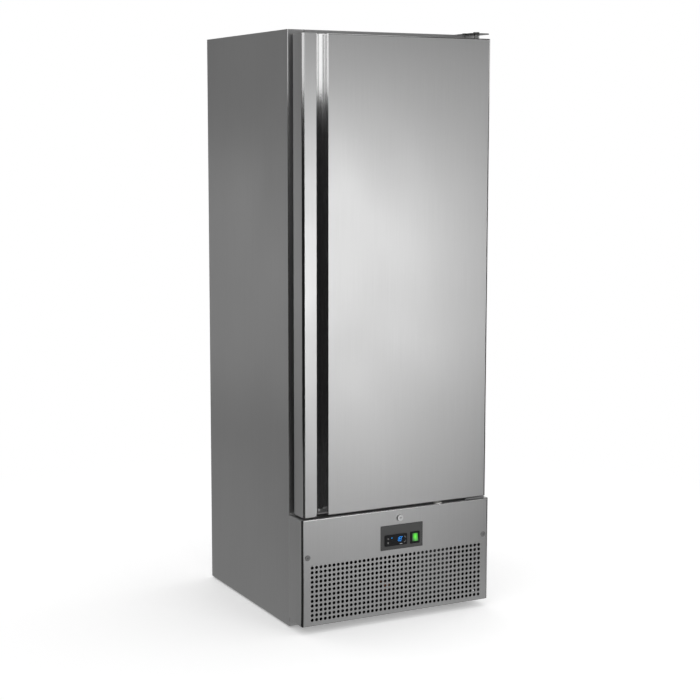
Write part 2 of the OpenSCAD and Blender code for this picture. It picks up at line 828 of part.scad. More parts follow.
// Probe of the thermostat in its clip under the evaporator's cover
module temperature_probe() {
    y = evap_y0 + 60;
    color([0.3, 0.3, 0.3]) {
        translate([probe_x, y, evap_z0 - probe_drop]) rotate([0, 90, 0])
            cylinder(h = probe_l, r = probe_r);
        block([probe_x + probe_l / 3, y - 2 * probe_r, evap_z0 - probe_drop - 2 * probe_r],
              [probe_x + 2 * probe_l / 3, y + 2 * probe_r, evap_z0]);
    }
}

// Hermetic compressor on its foot plate, with one stub for each pipe
module compressor() {
    z0 = deck_clear + comp_lift;
    foot = comp_d / 2 + 6;
    color([0.08, 0.08, 0.09]) {
        translate([comp_x, comp_y, z0 + 2]) rotate_extrude() intersection() {
            round_rect([-comp_d / 2, 0], [comp_d / 2, comp_h], comp_round);
            square([comp_d, comp_h]);
        }
        block([comp_x - foot, comp_y - foot, z0], [comp_x + foot, comp_y + foot, z0 + 3]);
        for (x = [-1, 1], y = [-1, 1]) translate([comp_x + x * (foot - 12), comp_y + y * (foot - 12),
            deck_clear]) cylinder(h = comp_lift + 1, r = 9);
        rod([comp_x - comp_d / 2 + 6, comp_y, z0 + stub_rise],
            [comp_x - comp_d / 2 - stub_l, comp_y, z0 + stub_rise], pipe_r);
        rod([comp_x, comp_y + comp_d / 2 - 6, z0 + stub_rise],
            [comp_x, comp_y + comp_d / 2 + stub_l, z0 + stub_rise], pipe_r);
        block([comp_x + 20, comp_y - comp_d / 2 - 22, z0 + 60],
              [comp_x + 66, comp_y - comp_d / 2 + 30, z0 + 120]);
    }
}

// Condenser with the shroud that guides the air of its fan
module condenser_coil() {
    color([0.16, 0.16, 0.17]) {
        finned_coil([cond_x0, cond_y0, deck_clear], [cond_x1, cond_y1, deck_clear + cond_w],
            5, 2, coil_tube_r);
        difference() {
            union() {
                block([cond_x0, cond_y1 - 1, deck_clear],
                      [cond_x1, cond_y1 + shroud_t, deck_clear + cond_w]);
                translate([cond_xc, cond_y1, cond_zc]) rotate([-90, 0, 0])
                    cylinder(h = shroud_l, d = cond_fan_d + 2 * shroud_gap + 2 * shroud_t);
            }
            translate([cond_xc, cond_y1 - 3, cond_zc]) rotate([-90, 0, 0])
                cylinder(h = shroud_l + 5, d = cond_fan_d + 2 * shroud_gap);
        }
        rod([cond_x1 - fin_t, cond_y0 + 12, cond_zc + discharge_rise], [cond_x1 + stub_l, cond_y0 + 12,
            cond_zc + discharge_rise], pipe_r);
        rod([cond_x1 - fin_t, cond_y0 + 12, liquid_floor_z], [cond_x1 + stub_l, cond_y0 + 12,
            liquid_floor_z], liquid_r);
    }
}

module condenser_fan_motor() {
    arm_y = cond_y1 + shroud_l;
    arm = cond_fan_d / 2 + shroud_gap + shroud_t;
    color([0.22, 0.22, 0.23])
        fan_motor(arm_y, arm_y + cond_motor_l, cond_motor_d, cond_xc, cond_zc, cond_y1 + 10)
            for (a = [45 : 90 : 315]) translate([cond_xc, arm_y, cond_zc]) rotate([0, a, 0])
                block([0, 0, -arm_w / 2], [arm, 3, arm_w / 2]);
}

module condenser_fan() {
    color([0.75, 0.76, 0.78]) translate([cond_xc, cond_y1 + cond_fan_h + 2, cond_zc])
        rotate([90, 0, 0]) fan_wheel(cond_fan_d, cond_hub_d, cond_fan_h, 5, 14);
}

// Drier between the condenser and the capillary line
module filter_drier() {
    color([0.72, 0.45, 0.2]) translate([drier_x, cond_y0 + 60, liquid_floor_z]) rotate([-90, 0, 0]) {
        cylinder(h = drier_l, r = liquid_r + 1);
        translate([0, 0, 10]) cylinder(h = drier_l - 20, r = drier_r);
    }
}

// Discharge line, liquid line in two runs, and suction line
module refrigerant_pipes() {
    comp_z = deck_clear + comp_lift + stub_rise;
    line_y = cond_y0 + 12;
    color([0.72, 0.45, 0.2]) {
        pipe([[comp_x - comp_d / 2 - stub_l, comp_y, comp_z], [40, comp_y, comp_z],
              [40, comp_y, cond_zc + discharge_rise], [40, line_y, cond_zc + discharge_rise],
              [cond_x1 + stub_l, line_y, cond_zc + discharge_rise]], pipe_r);
        pipe([[cond_x1 + stub_l, line_y, liquid_floor_z], [drier_x, line_y, liquid_floor_z],
              [drier_x, cond_y0 + 60, liquid_floor_z]], liquid_r);
        pipe([[drier_x, cond_y0 + 60 + drier_l, liquid_floor_z], [drier_x, chase_y, liquid_floor_z],
              [chase_x - pipe_dx, chase_y, liquid_floor_z], [chase_x - pipe_dx, chase_y, liquid_z],
              [chase_x - pipe_dx, coil_yc, liquid_z], [coil_x + stub_l, coil_yc, liquid_z]], liquid_r);
        pipe([[comp_x, comp_y + comp_d / 2 + stub_l, comp_z], [comp_x, chase_y, comp_z],
              [chase_x + pipe_dx, chase_y, comp_z], [chase_x + pipe_dx, chase_y, suction_z],
              [chase_x + pipe_dx, coil_yc, suction_z], [coil_x + stub_l, coil_yc, suction_z]], pipe_r);
    }
}

// Open tray for defrost water
module evaporation_tray() {
    color([0.85, 0.85, 0.83]) difference() {
        block(tray_lo, tray_hi);
        block(tray_lo + [tray_wall, tray_wall, tray_wall],
              tray_hi + [-tray_wall, -tray_wall, over]);
    }
}

// Box with the relay and the terminals, with its lid in front
module electrical_box() {
    color([0.8, 0.8, 0.78]) {
        difference() {
            block(ebox_lo, ebox_hi);
            block(ebox_lo + [ebox_t, -over, ebox_t], ebox_hi - [ebox_t, ebox_t, ebox_t]);
        }
        block([ebox_lo[0], ebox_lo[1] - ebox_t, ebox_lo[2]], [ebox_hi[0], ebox_lo[1], ebox_hi[2]]);
    }
}

// Gland for the power cord in the rear grille
module cord_gland() {
    color([0.1, 0.1, 0.1]) translate([gland_x, y_back, gland_z]) rotate([-90, 0, 0]) difference() {
        union() {
            cylinder(h = gland_proud, r = gland_r);
            translate([0, 0, -sheet_t]) cylinder(h = sheet_t + over, r = gland_r - 3);
            translate([0, 0, -sheet_t - 5]) cylinder(h = 5, r = gland_r + 1, $fn = 6);
        }
        translate([0, 0, -20]) cylinder(h = 40, r = cord_hole_r);
    }
}

// Slotted sheet over the back of the machine compartment
module rear_grille() {
    rows = 12;
    cols = 5;
    slot_l = 70;
    slot_h = 6;
    pitch = [slot_l + 30, 16];
    lowest = z_base + 120;
    color([0.6, 0.61, 0.62]) along_y(y_back - sheet_t, y_back) difference() {
        translate([x_l + back_fold_w, z_base])
            square([cab_w - 2 * back_fold_w, deck_z - z_base]);
        for (c = [0 : cols - 1], r = [0 : rows - 1])
            translate([(c - (cols - 1) / 2) * pitch[0] - slot_l / 2, lowest + r * pitch[1]])
                square([slot_l, slot_h]);
        translate([gland_x, gland_z]) circle(r = gland_r - 3);
    }
}

// Folded front cover with the vent holes and the cut-outs for controls, lock and screws
module lower_panel() {
    color([0.64, 0.64, 0.63]) difference() {
        folded_cover([x_l, y_panel, panel_z0], [x_r, y_face, panel_z1], sheet_t,
            panel_edge_r, panel_fold_r, panel_corner_r);
        block([x_l + sheet_t, y_panel + panel_bottom_d, panel_z0 - over],
              [x_r - sheet_t, y_face + over, panel_z0 + sheet_t + over]);
        along_x(x_l - over, x_r + over) difference() {
            translate([y_face - panel_back_r, panel_z0 - over])
                square([panel_back_r + over, panel_back_r + over]);
            translate([y_face - panel_back_r, panel_z0 + panel_back_r]) circle(panel_back_r);
        }
        block([x_l + sheet_t, y_face - bracket_t - 1, panel_z1 - sheet_t - over],
              [x_r - sheet_t, y_face + over, panel_z1 + over]);
        along_y(y_panel - over, y_panel + sheet_t + over) {
            for (c = [0 : vent_cols - 1], r = [0 : vent_rows - 1])
                translate([(c - (vent_cols - 1) / 2) * vent_pitch, vent_z0 + r * vent_pitch])
                    circle(d = vent_d, $fn = 20);
            for (s = [-1, 1]) translate([s * (x_r - screw_x), screw_z]) circle(d = screw_d);
            translate([lock_x, lock_z]) circle(d = lock_body_d + 2 * seat_gap);
            translate([case_x0 - case_play, case_z0 - case_play])
                square([case_w + 2 * case_play, case_h + 2 * case_play]);
            translate([switch_xc - switch_hole_w / 2 - case_play,
                       switch_zc - switch_hole_h / 2 - case_play])
                square([switch_hole_w + 2 * case_play, switch_hole_h + 2 * case_play]);
        }
        cam_slot(panel_z1 - sheet_t - over, panel_z1 + over, lock_drop - sheet_t);
        translate([ring_x, ring_y, panel_z1 - sheet_t - over])
            cylinder(h = sheet_t + 2 * over, d = ring_d - 8);
    }
}

// Room for the turning cam where it passes a level
module cam_slot(z0, z1, drop) {
    run = sqrt(cam_reach * cam_reach - drop * drop) + 1.5;
    block([lock_x - cam_w / 2 - 1.5, cam_y - over, z0], [lock_x + run, cam_y + cam_t + over, z1]);
}

// Brackets that hold the lower panel by its screws
module panel_brackets() {
    z0 = screw_z - bracket_rise / 2;
    z1 = z0 + bracket_rise;
    color([0.55, 0.56, 0.57]) for (s = [0, 1]) mirror([s, 0, 0]) {
        x0 = x_l + screw_x - bracket_leg / 2;
        x1 = x0 + bracket_leg;
        difference() {
            block([x0, y_panel + sheet_t, z0], [x1, y_face, z1]);
            block([x0 + bracket_wall, y_panel + sheet_t + bracket_wall, z0 - over],
                  [x1 + over, y_face - bracket_wall, z1 + over]);
            translate([x_l + screw_x, y_panel, screw_z]) rotate([-90, 0, 0])
                cylinder(h = bracket_leg / 2, d = screw_d);
        }
    }
}

// Screws of the lower panel with their round caps
module panel_screws() {
    color([0.35, 0.35, 0.35]) for (s = [-1, 1])
        translate([s * (x_r - screw_x), y_panel, screw_z]) rotate([90, 0, 0]) {
            cylinder(h = cap_h, d = screw_cap_d);
            translate([0, 0, cap_h])
                cylinder(h = cap_dome, d1 = screw_cap_d, d2 = screw_cap_d - 4 * cap_dome);
            translate([0, 0, -screw_l]) cylinder(h = screw_l + cap_h / 2, d = screw_d);
        }
}

// Bright ring in the top of the lower panel
module panel_ring() {
    color([0.85, 0.85, 0.85]) translate([ring_x, ring_y, panel_z1]) difference() {
        union() {
            cylinder(h = 1.5, d = ring_d);
            translate([0, 0, -6]) cylinder(h = 6.5, d = ring_d - 8);
        }
        translate([0, 0, -10]) cylinder(h = 20, d = ring_d - 14);
    }
}

// Dark plate behind the controls, without any lettering
module control_plate() {
    color([0.3, 0.3, 0.3]) along_y(plate_y, y_panel) difference() {
        round_rect([plate_x0, plate_z0], [plate_x0 + ctl_w, plate_z0 + ctl_h], 2);
        translate([case_x0 - case_play, case_z0 - case_play])
            square([case_w + 2 * case_play, case_h + 2 * case_play]);
        translate([switch_xc - switch_hole_w / 2 - case_play,
                   switch_zc - switch_hole_h / 2 - case_play])
            square([switch_hole_w + 2 * case_play, switch_hole_h + 2 * case_play]);
    }
}

// Centre of one of the controller's keys: side -1 or 1, level -1 or 1
function key_place(side, level) =
    [bezel_xc + key_shift + side * key_dx, bezel_zc + level * key_dz];

// Controller: bezel in front, case behind the dark plate
module controller_case() {
    y0 = plate_y - bezel_t;
    color([0.05, 0.05, 0.06]) difference() {
        union() {
            rounded_block([bezel_x0, y0, bezel_z0], [bezel_x0 + bezel_w, plate_y, bezel_z0 + bezel_h],
                bezel_edge_r, bezel_edge_r, bezel_corner_r);
            block([case_x0, plate_y - over, case_z0], [case_x0 + case_w, plate_y + case_d,
                  case_z0 + case_h]);
        }
        display_window(y0 - over);
        for (side = [-1, 1], level = [-1, 1]) along_y(y0 - over, y0 + key_pocket)
            translate(key_place(side, level) - [key_w / 2 + key_play, key_h / 2 + key_play])
                square([key_w + 2 * key_play, key_h + 2 * key_play]);
    }
}

// Display window, from a given depth to the floor of its recess in the bezel
module display_window(y0) {
    block([bezel_xc + display_shift - display_w / 2, y0, bezel_zc - display_h / 2],
          [bezel_xc + display_shift + display_w / 2, plate_y - bezel_t + display_t,
           bezel_zc + display_h / 2]);
}

// Window over the digits
module controller_display() {
    color([0.05, 0.15, 0.4]) display_window(plate_y - bezel_t + seat_gap);
}

// One key, standing a little proud of the bezel
module controller_key(side, level) {
    y0 = plate_y - bezel_t;
    color([0.16, 0.16, 0.17]) along_y(y0 - key_proud, y0 + key_depth)
        translate(key_place(side, level) - [key_w / 2, key_h / 2]) square([key_w, key_h]);
}

module key_set() {
    controller_key(-1, 1);
}

module key_defrost() {
    controller_key(-1, -1);
}

module key_up() {
    controller_key(1, 1);
}

module key_down() {
    controller_key(1, -1);
}

// Frame of the power switch with the rocker's pocket and pin holes
module switch_frame() {
    swing = norm([rocker_h / 2, 5]) + 0.6;
    color([0.05, 0.05, 0.06]) difference() {
        union() {
            rounded_block([switch_x0, plate_y - switch_t, switch_z0],
                [switch_x0 + switch_w, plate_y, switch_z0 + switch_h],
                bezel_edge_r, bezel_edge_r, bezel_corner_r / 2);
            block([switch_xc - switch_hole_w / 2, plate_y - over, switch_zc - switch_hole_h / 2],
                  [switch_xc + switch_hole_w / 2, plate_y + switch_depth,
                   switch_zc + switch_hole_h / 2]);
        }
        block([switch_xc - rocker_w / 2 - rocker_play, plate_y - 10, switch_zc - swing],
              [switch_xc + rocker_w / 2 + rocker_play, rocker_y + 8, switch_zc + swing]);
        rod([switch_xc - rocker_w / 2 - 2, rocker_y, switch_zc],
            [switch_xc + rocker_w / 2 + 2, rocker_y, switch_zc], rocker_pin_r + shaft_play);
    }
}

// Lit rocker, shown pressed at the top
module power_rocker() {
    half = rocker_h / 2;
    color([0.1, 0.8, 0.2]) translate([0, rocker_y, switch_zc]) rotate([-rocker_tilt, 0, 0]) {
        along_x(switch_xc - rocker_w / 2, switch_xc + rocker_w / 2)
            polygon([[-5, half], [-2.8, 0], [-5, -half], [-2, -half], [3, -6], [3, 6], [-2, half]]);
        rod([switch_xc - rocker_w / 2 - 1.6, 0, 0], [switch_xc + rocker_w / 2 + 1.6, 0, 0],
            rocker_pin_r);
    }
}

// Collar, threaded body and nut of the lock
module lock_housing() {
    color([0.78, 0.78, 0.77]) translate([lock_x, y_panel, lock_z]) rotate([-90, 0, 0]) {
        difference() {
            union() {
                translate([0, 0, -lock_proud]) cylinder(h = lock_proud, d1 = lock_d - 3, d2 = lock_d);
                cylinder(h = cam_back - 1, d = lock_body_d);
            }
            translate([0, 0, -10]) cylinder(h = cam_back + 20, r = barrel_d / 2 + pin_play);
        }
        translate([0, 0, sheet_t]) difference() {
            cylinder(h = 6, d = lock_body_d + 7, $fn = 6);
            translate([0, 0, -over]) cylinder(h = 10, d = lock_body_d);
        }
    }
}

// Turning barrel with its key slot
module lock_barrel() {
    color([0.7, 0.7, 0.69]) translate([lock_x, y_panel, lock_z]) rotate([-90, 0, 0]) difference() {
        translate([0, 0, -lock_proud + 0.5]) cylinder(h = cam_back + lock_proud - 0.5, d = barrel_d);
        block([-4, -0.8, -lock_proud - over], [4, 0.8, -lock_proud + 6]);
    }
}

// Cam behind the panel, lying to the right when unlocked, with its screw
module lock_cam() {
    color([0.6, 0.6, 0.6]) {
        along_y(cam_y, cam_y + cam_t) translate([lock_x, lock_z]) {
            circle(d = cam_w);
            translate([0, -cam_w / 2]) square([cam_l, cam_w]);
        }
        translate([lock_x, cam_y + cam_t, lock_z]) rotate([-90, 0, 0]) cylinder(h = 3, d = 10, $fn = 6);
    }
}

// Plate on the cabinet that carries the door's upper pin
module top_hinge_plate() {
    color([0.2, 0.2, 0.2]) difference() {
        translate([0, 0, z_top]) linear_extrude(plate_t)
            round_rect([plate_x1 - plate_w, pivot[1] - 20], [plate_x1, y_face + plate_back],
                plate_corner_r);
        translate([pivot[0], pivot[1], z_top - over]) cylinder(h = plate_t + 2 * over, d = pin_d);
        for (p = hinge_bolt_places) translate([p[0], p[1], z_top - over])
            cylinder(h = plate_t + 2 * over, d = bolt_d);
    }
}

// Bolts of both hinges
module hinge_bolts() {
    color([0.15, 0.15, 0.15]) {
        for (p = hinge_bolt_places) translate([p[0], p[1], z_top + plate_t]) {
            cylinder(h = bolt_head_h, d = bolt_head_d, $fn = 6);
            translate([0, 0, -plate_t - sheet_t]) cylinder(h = plate_t + sheet_t + 1, d = bolt_d);
        }
        for (p = bracket_bolts) translate([p[0], y_face - bracket_t, p[1]]) rotate([90, 0, 0]) {
            cylinder(h = bolt_head_h, d = bolt_head_d - 3, $fn = 6);
            translate([0, 0, -bracket_t - sheet_t - 6])
                cylinder(h = bracket_t + sheet_t + 7, d = bolt_d);
        }
    }
}

// Bracket under the door: flange on the cabinet, tongue that carries the lower pin
module bottom_hinge_bracket() {
    color([0.5, 0.5, 0.5]) difference() {
        union() {
            block([bracket_x0, tongue_y0, bracket_z0], [bracket_x1, y_face, bracket_z1]);
            block([bracket_x0, y_face - bracket_t, bracket_z1 - bracket_h],
                  [bracket_x1, y_face, bracket_z1]);
        }
        bracket_bolt_holes();
        translate([pivot[0], pivot[1], bracket_z0 - over])
            cylinder(h = bracket_t + 2 * over, d = pin_d);
    }
}

// Upper pin with its head, and lower pin with the collar under the door
module hinge_pins() {
    color([0.45, 0.45, 0.46]) translate([pivot[0], pivot[1], 0]) {
        translate([0, 0, z_top + plate_t]) cylinder(h = pin_head_h, d = pin_head_d);
        translate([0, 0, door_z1 - bush_l + 4])
            cylinder(h = z_top + plate_t + 1 - door_z1 + bush_l - 4, d = pin_d);
        translate([0, 0, bracket_z0]) cylinder(h = door_z0 + bush_l - 4 - bracket_z0, d = pin_d);
        translate([0, 0, bracket_z1])
            cylinder(h = door_z0 - seat_gap - bracket_z1, d = collar_d);
    }
}

// Hollow of the grip channel seen from above, grown outward by a skin
module channel_plan(grow) {
    r = channel_r + grow;
    translate([channel_x - r, door_y0 + lip_r]) square([2 * r, channel_yc - door_y0 - lip_r]);
    intersection() {
        translate([channel_x, channel_yc]) circle(r);
        translate([channel_x - r, channel_yc - 0.01]) square([2 * r, r + 1]);
    }
}

// Plan of the space inside the door's sheets, without the grip channel
module door_inside_plan() {
    intersection() {
        round_rect([door_x0 + sheet_t, door_y0 + sheet_t],
                   [door_x1 - sheet_t, door_y1 + 2 * door_edge_r], door_edge_r - sheet_t);
        translate([door_x0, door_y0]) square([door_x1 - door_x0, door_t - sheet_t]);
    }
}

// Door's front sheet right of the grip channel, folded round three sides
module door_outer_panel() {
    color([0.7, 0.7, 0.69]) difference() {
        folded_cover([skin_x0 - 30, door_y0, door_z0], [door_x1, door_y1 - sheet_t, door_z1],
            sheet_t, door_edge_r, door_fold_r, door_corner_r);
        block([skin_x0 - 40, door_y0 - over, door_z0 - over], [skin_x0, door_y1, door_z1 + over]);
        bush_holes();
        cam_slot(door_z0 - over, door_z0 + sheet_t + over, lock_drop + door_gap);
    }
}

// Holes for the hinge bushes at both ends of the door
module bush_holes() {
    for (z = [door_z0 - over, door_z1 - bush_l])
        translate([pivot[0], pivot[1], z]) cylinder(h = bush_l + over, d = bush_d);
}

// Upright strip left of the grip channel, with its lower inner corner rounded
module door_handle_strip() {
    color([0.72, 0.72, 0.71]) difference() {
        translate([0, 0, door_z0]) linear_extrude(door_z1 - door_z0) intersection() {
            difference() {
                round_rect([door_x0, door_y0], [strip_x1 + 40, door_y1 + 40], door_edge_r);
                round_rect([door_x0 + sheet_t, door_y0 + sheet_t], [strip_x1 + 39, door_y1 + 39],
                    door_edge_r - sheet_t);
            }
            translate([door_x0, door_y0]) square([strip_w, door_t - sheet_t]);
        }
        along_y(door_y0 - over, door_y0 + sheet_t + over) difference() {
            translate([strip_x1 - strip_corner_r, door_z0 - over])
                square([strip_corner_r + over, strip_corner_r + over]);
            translate([strip_x1 - strip_corner_r, door_z0 + strip_corner_r])
                circle(strip_corner_r);
        }
    }
}

// Polished channel for the fingers, with a rolled lip on each side; the left one ends at the
// strip's rounded corner
module door_grip_channel() {
    color([0.9, 0.9, 0.9]) {
        translate([0, 0, door_z0]) linear_extrude(door_z1 - door_z0) difference() {
            channel_plan(sheet_t);
            channel_plan(0);
            translate([channel_x - channel_r, door_y0]) square([2 * channel_r, lip_r + over]);
        }
        for (s = [-1, 1]) {
            z0 = s < 0 ? door_z0 + strip_corner_r : door_z0;
            translate([channel_x + s * channel_w / 2, door_y0 + lip_r, z0])
                linear_extrude(door_z1 - z0) intersection() {
                    difference() {
                        circle(lip_r);
                        circle(lip_r - sheet_t);
                    }
                    translate([s < 0 ? 0 : -lip_r, -lip_r]) square(lip_r);
                }
        }
    }
}

// Plan of the grip channel with its skin, cut out of what lies behind it
module channel_envelope() {
    channel_plan(sheet_t);
    translate([strip_x1, door_y0]) square([channel_w, lip_r + 0.01]);
}

// Caps at the top and bottom round the grip channel, and the channel's floor
module door_end_caps() {
    color([0.5, 0.5, 0.5]) {
        for (z = [door_z0, door_z1 - cap_t]) translate([0, 0, z]) linear_extrude(cap_t)
            intersection() {
                difference() {
                    door_inside_plan();
                    channel_envelope();
                }
                translate([door_x0, door_y0]) square([skin_x0 - door_x0, door_t]);
            }
        translate([0, 0, door_z0 + floor_rise]) linear_extrude(cap_t) channel_plan(0);
    }
}

// Foam that fills the door
module door_core() {
    color([0.93, 0.87, 0.62]) difference() {
        union() {
            intersection() {
                rounded_block([skin_x0 - 30 + sheet_t, door_y0 + sheet_t, door_z0 + sheet_t],
                    [door_x1 - sheet_t, door_y1 - sheet_t, door_z1 - sheet_t],
                    door_edge_r - sheet_t, door_fold_r - sheet_t, door_corner_r - sheet_t);
                block([skin_x0, door_y0, door_z0], [door_x1, door_y1, door_z1]);
            }
            translate([0, 0, door_z0 + strip_corner_r])
                linear_extrude(door_z1 - cap_t - door_z0 - strip_corner_r) intersection() {
                    door_inside_plan();
                    translate([door_x0, door_y0]) square([skin_x0 - door_x0, door_t]);
                }
            along_y(door_y1 - sheet_t - over, door_y1 + field_h - sheet_t)
                round_rect([-in_x + field_inset + sheet_t, in_z0 + field_inset + sheet_t],
                    [in_x - field_inset - sheet_t, in_z1 - field_inset - sheet_t], 11);
        }
        translate([0, 0, door_z0 - over]) linear_extrude(door_z1 - door_z0 + 2 * over)
            channel_envelope();
        bush_holes();
        cam_slot(door_z0 - over, lock_z + cam_reach + 2, lock_drop + door_gap);
    }
}

// Inner sheet of the door with its raised field
module door_inner_panel() {
    color([0.8, 0.81, 0.82]) difference() {
        union() {
            along_y(door_y1 - sheet_t, door_y1)
                round_rect([door_x0, door_z0], [door_x1, door_z1], 2);
            along_y(door_y1 - sheet_t, door_y1 + field_h)
                round_rect([-in_x + field_inset, in_z0 + field_inset],
                    [in_x - field_inset, in_z1 - field_inset], 11 + sheet_t);
        }
        along_y(door_y1 - 2 * sheet_t, door_y1 + field_h - sheet_t)
            round_rect([-in_x + field_inset + sheet_t, in_z0 + field_inset + sheet_t],
                [in_x - field_inset - sheet_t, in_z1 - field_inset - sheet_t], 11);
    }
}

// Magnetic gasket round the raised field, with its two fold grooves
module door_gasket() {
    gx = pivot[0] - 1;
    gz0 = in_z0 - 1 - gasket_w;
    gz1 = in_z1 + 1 + gasket_w;
    color([0.2, 0.2, 0.21]) difference() {
        block([-gx, door_y1, gz0], [gx, y_face - seat_gap, gz1]);
        block([-gx + gasket_w, door_y1 - over, gz0 + gasket_w], [gx - gasket_w, y_face + over,
              gz1 - gasket_w]);
        for (k = [1, 2]) difference() {
            y = door_y1 + k * gasket_gap / 3 - 1;
            block([-gx - over, y, gz0 - over], [gx + over, y + 2, gz1 + over]);
            block([-gx + 3, y - over, gz0 + 3], [gx - 3, y + 3, gz1 - 3]);
        }
    }
}

// Nylon bushes for the hinge pins
module door_bushes() {
    color([0.92, 0.92, 0.9]) for (z = [door_z0, door_z1 - bush_l])
        translate([pivot[0], pivot[1], z]) difference() {
            cylinder(h = bush_l, d = bush_d);
            translate([0, 0, -over]) cylinder(h = bush_l + 2 * over, r = pin_d / 2 + pin_play);
        }
}

side_panel_left();
side_panel_right();
back_panel();
top_panel();
machine_deck();
base_tray();
levelling_feet();
cabinet_insulation();
breaker_strips();
inner_liner();
shelf_uprights();
shelf_clips();
wire_shelf_1();
wire_shelf_2();
wire_shelf_3();
wire_shelf_4();
evaporator_cover();
evaporator_coil();
evaporator_fan_motor();
evaporator_fan();
drain_tube();
temperature_probe();
compressor();
condenser_coil();
condenser_fan_motor();
condenser_fan();
filter_drier();
refrigerant_pipes();
evaporation_tray();
electrical_box();
cord_gland();
rear_grille();
lower_panel();
panel_brackets();
panel_screws();
panel_ring();
control_plate();
controller_case();
controller_display();
key_set();
key_defrost();
key_up();
key_down();
switch_frame();
power_rocker();
lock_housing();
lock_barrel();
lock_cam();
top_hinge_plate();
hinge_bolts();
bottom_hinge_bracket();
hinge_pins();
door_outer_panel();
door_handle_strip();
door_grip_channel();
door_end_caps();
door_core();
door_inner_panel();
door_gasket();
door_bushes();
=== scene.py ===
"""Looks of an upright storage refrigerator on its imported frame. All lengths are in metres."""

import json
import math

import bmesh
import bpy
from mathutils import Matrix, Vector


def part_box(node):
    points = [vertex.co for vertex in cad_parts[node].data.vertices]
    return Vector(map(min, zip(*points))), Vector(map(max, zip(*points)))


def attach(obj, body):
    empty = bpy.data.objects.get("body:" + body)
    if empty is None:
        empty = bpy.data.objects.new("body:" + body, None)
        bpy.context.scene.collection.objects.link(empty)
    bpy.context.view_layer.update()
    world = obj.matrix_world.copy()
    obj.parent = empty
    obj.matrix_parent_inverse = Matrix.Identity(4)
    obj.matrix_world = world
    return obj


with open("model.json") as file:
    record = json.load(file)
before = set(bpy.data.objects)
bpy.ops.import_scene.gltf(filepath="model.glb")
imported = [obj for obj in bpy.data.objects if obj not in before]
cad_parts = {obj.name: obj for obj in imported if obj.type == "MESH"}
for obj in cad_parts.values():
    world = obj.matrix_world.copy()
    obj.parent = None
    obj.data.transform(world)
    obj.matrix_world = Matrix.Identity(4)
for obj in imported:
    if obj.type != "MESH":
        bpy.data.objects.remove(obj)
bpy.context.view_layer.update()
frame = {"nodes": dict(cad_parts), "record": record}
nodes = frame["nodes"]

# Camera, fitted to the photograph's edges
CAMERA_AT = Vector((-2.397, -4.632, 1.578))
CAMERA_YAW = math.radians(27.52)
CAMERA_PITCH = math.radians(7.14)
CAMERA_ROLL = math.radians(0.09)
CAMERA_LENS = 79.9
CAMERA_SHIFT = -0.035
CAMERA_REACH = 100

# World and floor: the fade runs between two distances from the object's middle
FILL_LEVEL = 0.62
FLOOR_SIZE = 60.0
FLOOR_FADE = (0.6, 2.4)
FLOOR_LIFT = 0.3
FLOOR_COLOUR = (0.93, 0.93, 0.93, 1)

# Round wall about the object, with a bright band above a dark front
WALL_RADIUS = 3.2
WALL_STEPS = 24
BAND_FOOT = 1.75
BAND_TOP = 2.25
CEILING = 4.0
LEFT_END = -100
RIGHT_END = 85
# Parts of the wall: name, start and end in degrees from the front, foot, top, shade
WALLS = (
    ("front_wall", LEFT_END, RIGHT_END, 0.0, BAND_FOOT, 0.012),
    ("band_left", LEFT_END, 8, BAND_FOOT, BAND_TOP, 1.05),
    ("band_mid", 8, 27, BAND_FOOT, BAND_TOP, 0.51),
    ("band_right", 27, 46, BAND_FOOT, BAND_TOP, 0.20),
    ("band_end", 46, RIGHT_END, BAND_FOOT, BAND_TOP, 0.90),
    ("upper_left", LEFT_END, 28, BAND_TOP, CEILING, 0.100),
    ("upper_right", 28, RIGHT_END, BAND_TOP, CEILING, 0.000),
    ("near_left", LEFT_END, -142, 0.0, CEILING, 0.030),
    ("left_wall", -142, -180, 0.0, CEILING, 0.020),
    ("right_wall", RIGHT_END, 180, 0.0, CEILING, 0.82),
)
# Level cards: name, two corners of X and Y, height, shade; the small ones lie over the large ones
FLOOR_SPLIT = -0.75
CARD_HEIGHT = 0.002
SMALL_CARD_HEIGHT = 0.003
CARDS = (
    ("front_floor", (-WALL_RADIUS, -WALL_RADIUS), (WALL_RADIUS, FLOOR_SPLIT), CARD_HEIGHT, 0.020),
    ("rear_floor", (-WALL_RADIUS, FLOOR_SPLIT), (WALL_RADIUS, WALL_RADIUS), CARD_HEIGHT, 0.30),
    ("panel_floor", (-0.28, -1.4), (0.55, -0.42), SMALL_CARD_HEIGHT, 0.35),
    ("left_floor", (-WALL_RADIUS, FLOOR_SPLIT), (-0.36, -0.32), SMALL_CARD_HEIGHT, 0.020),
    ("ceiling", (-WALL_RADIUS, -WALL_RADIUS), (WALL_RADIUS, WALL_RADIUS), CEILING, 0.100),
)
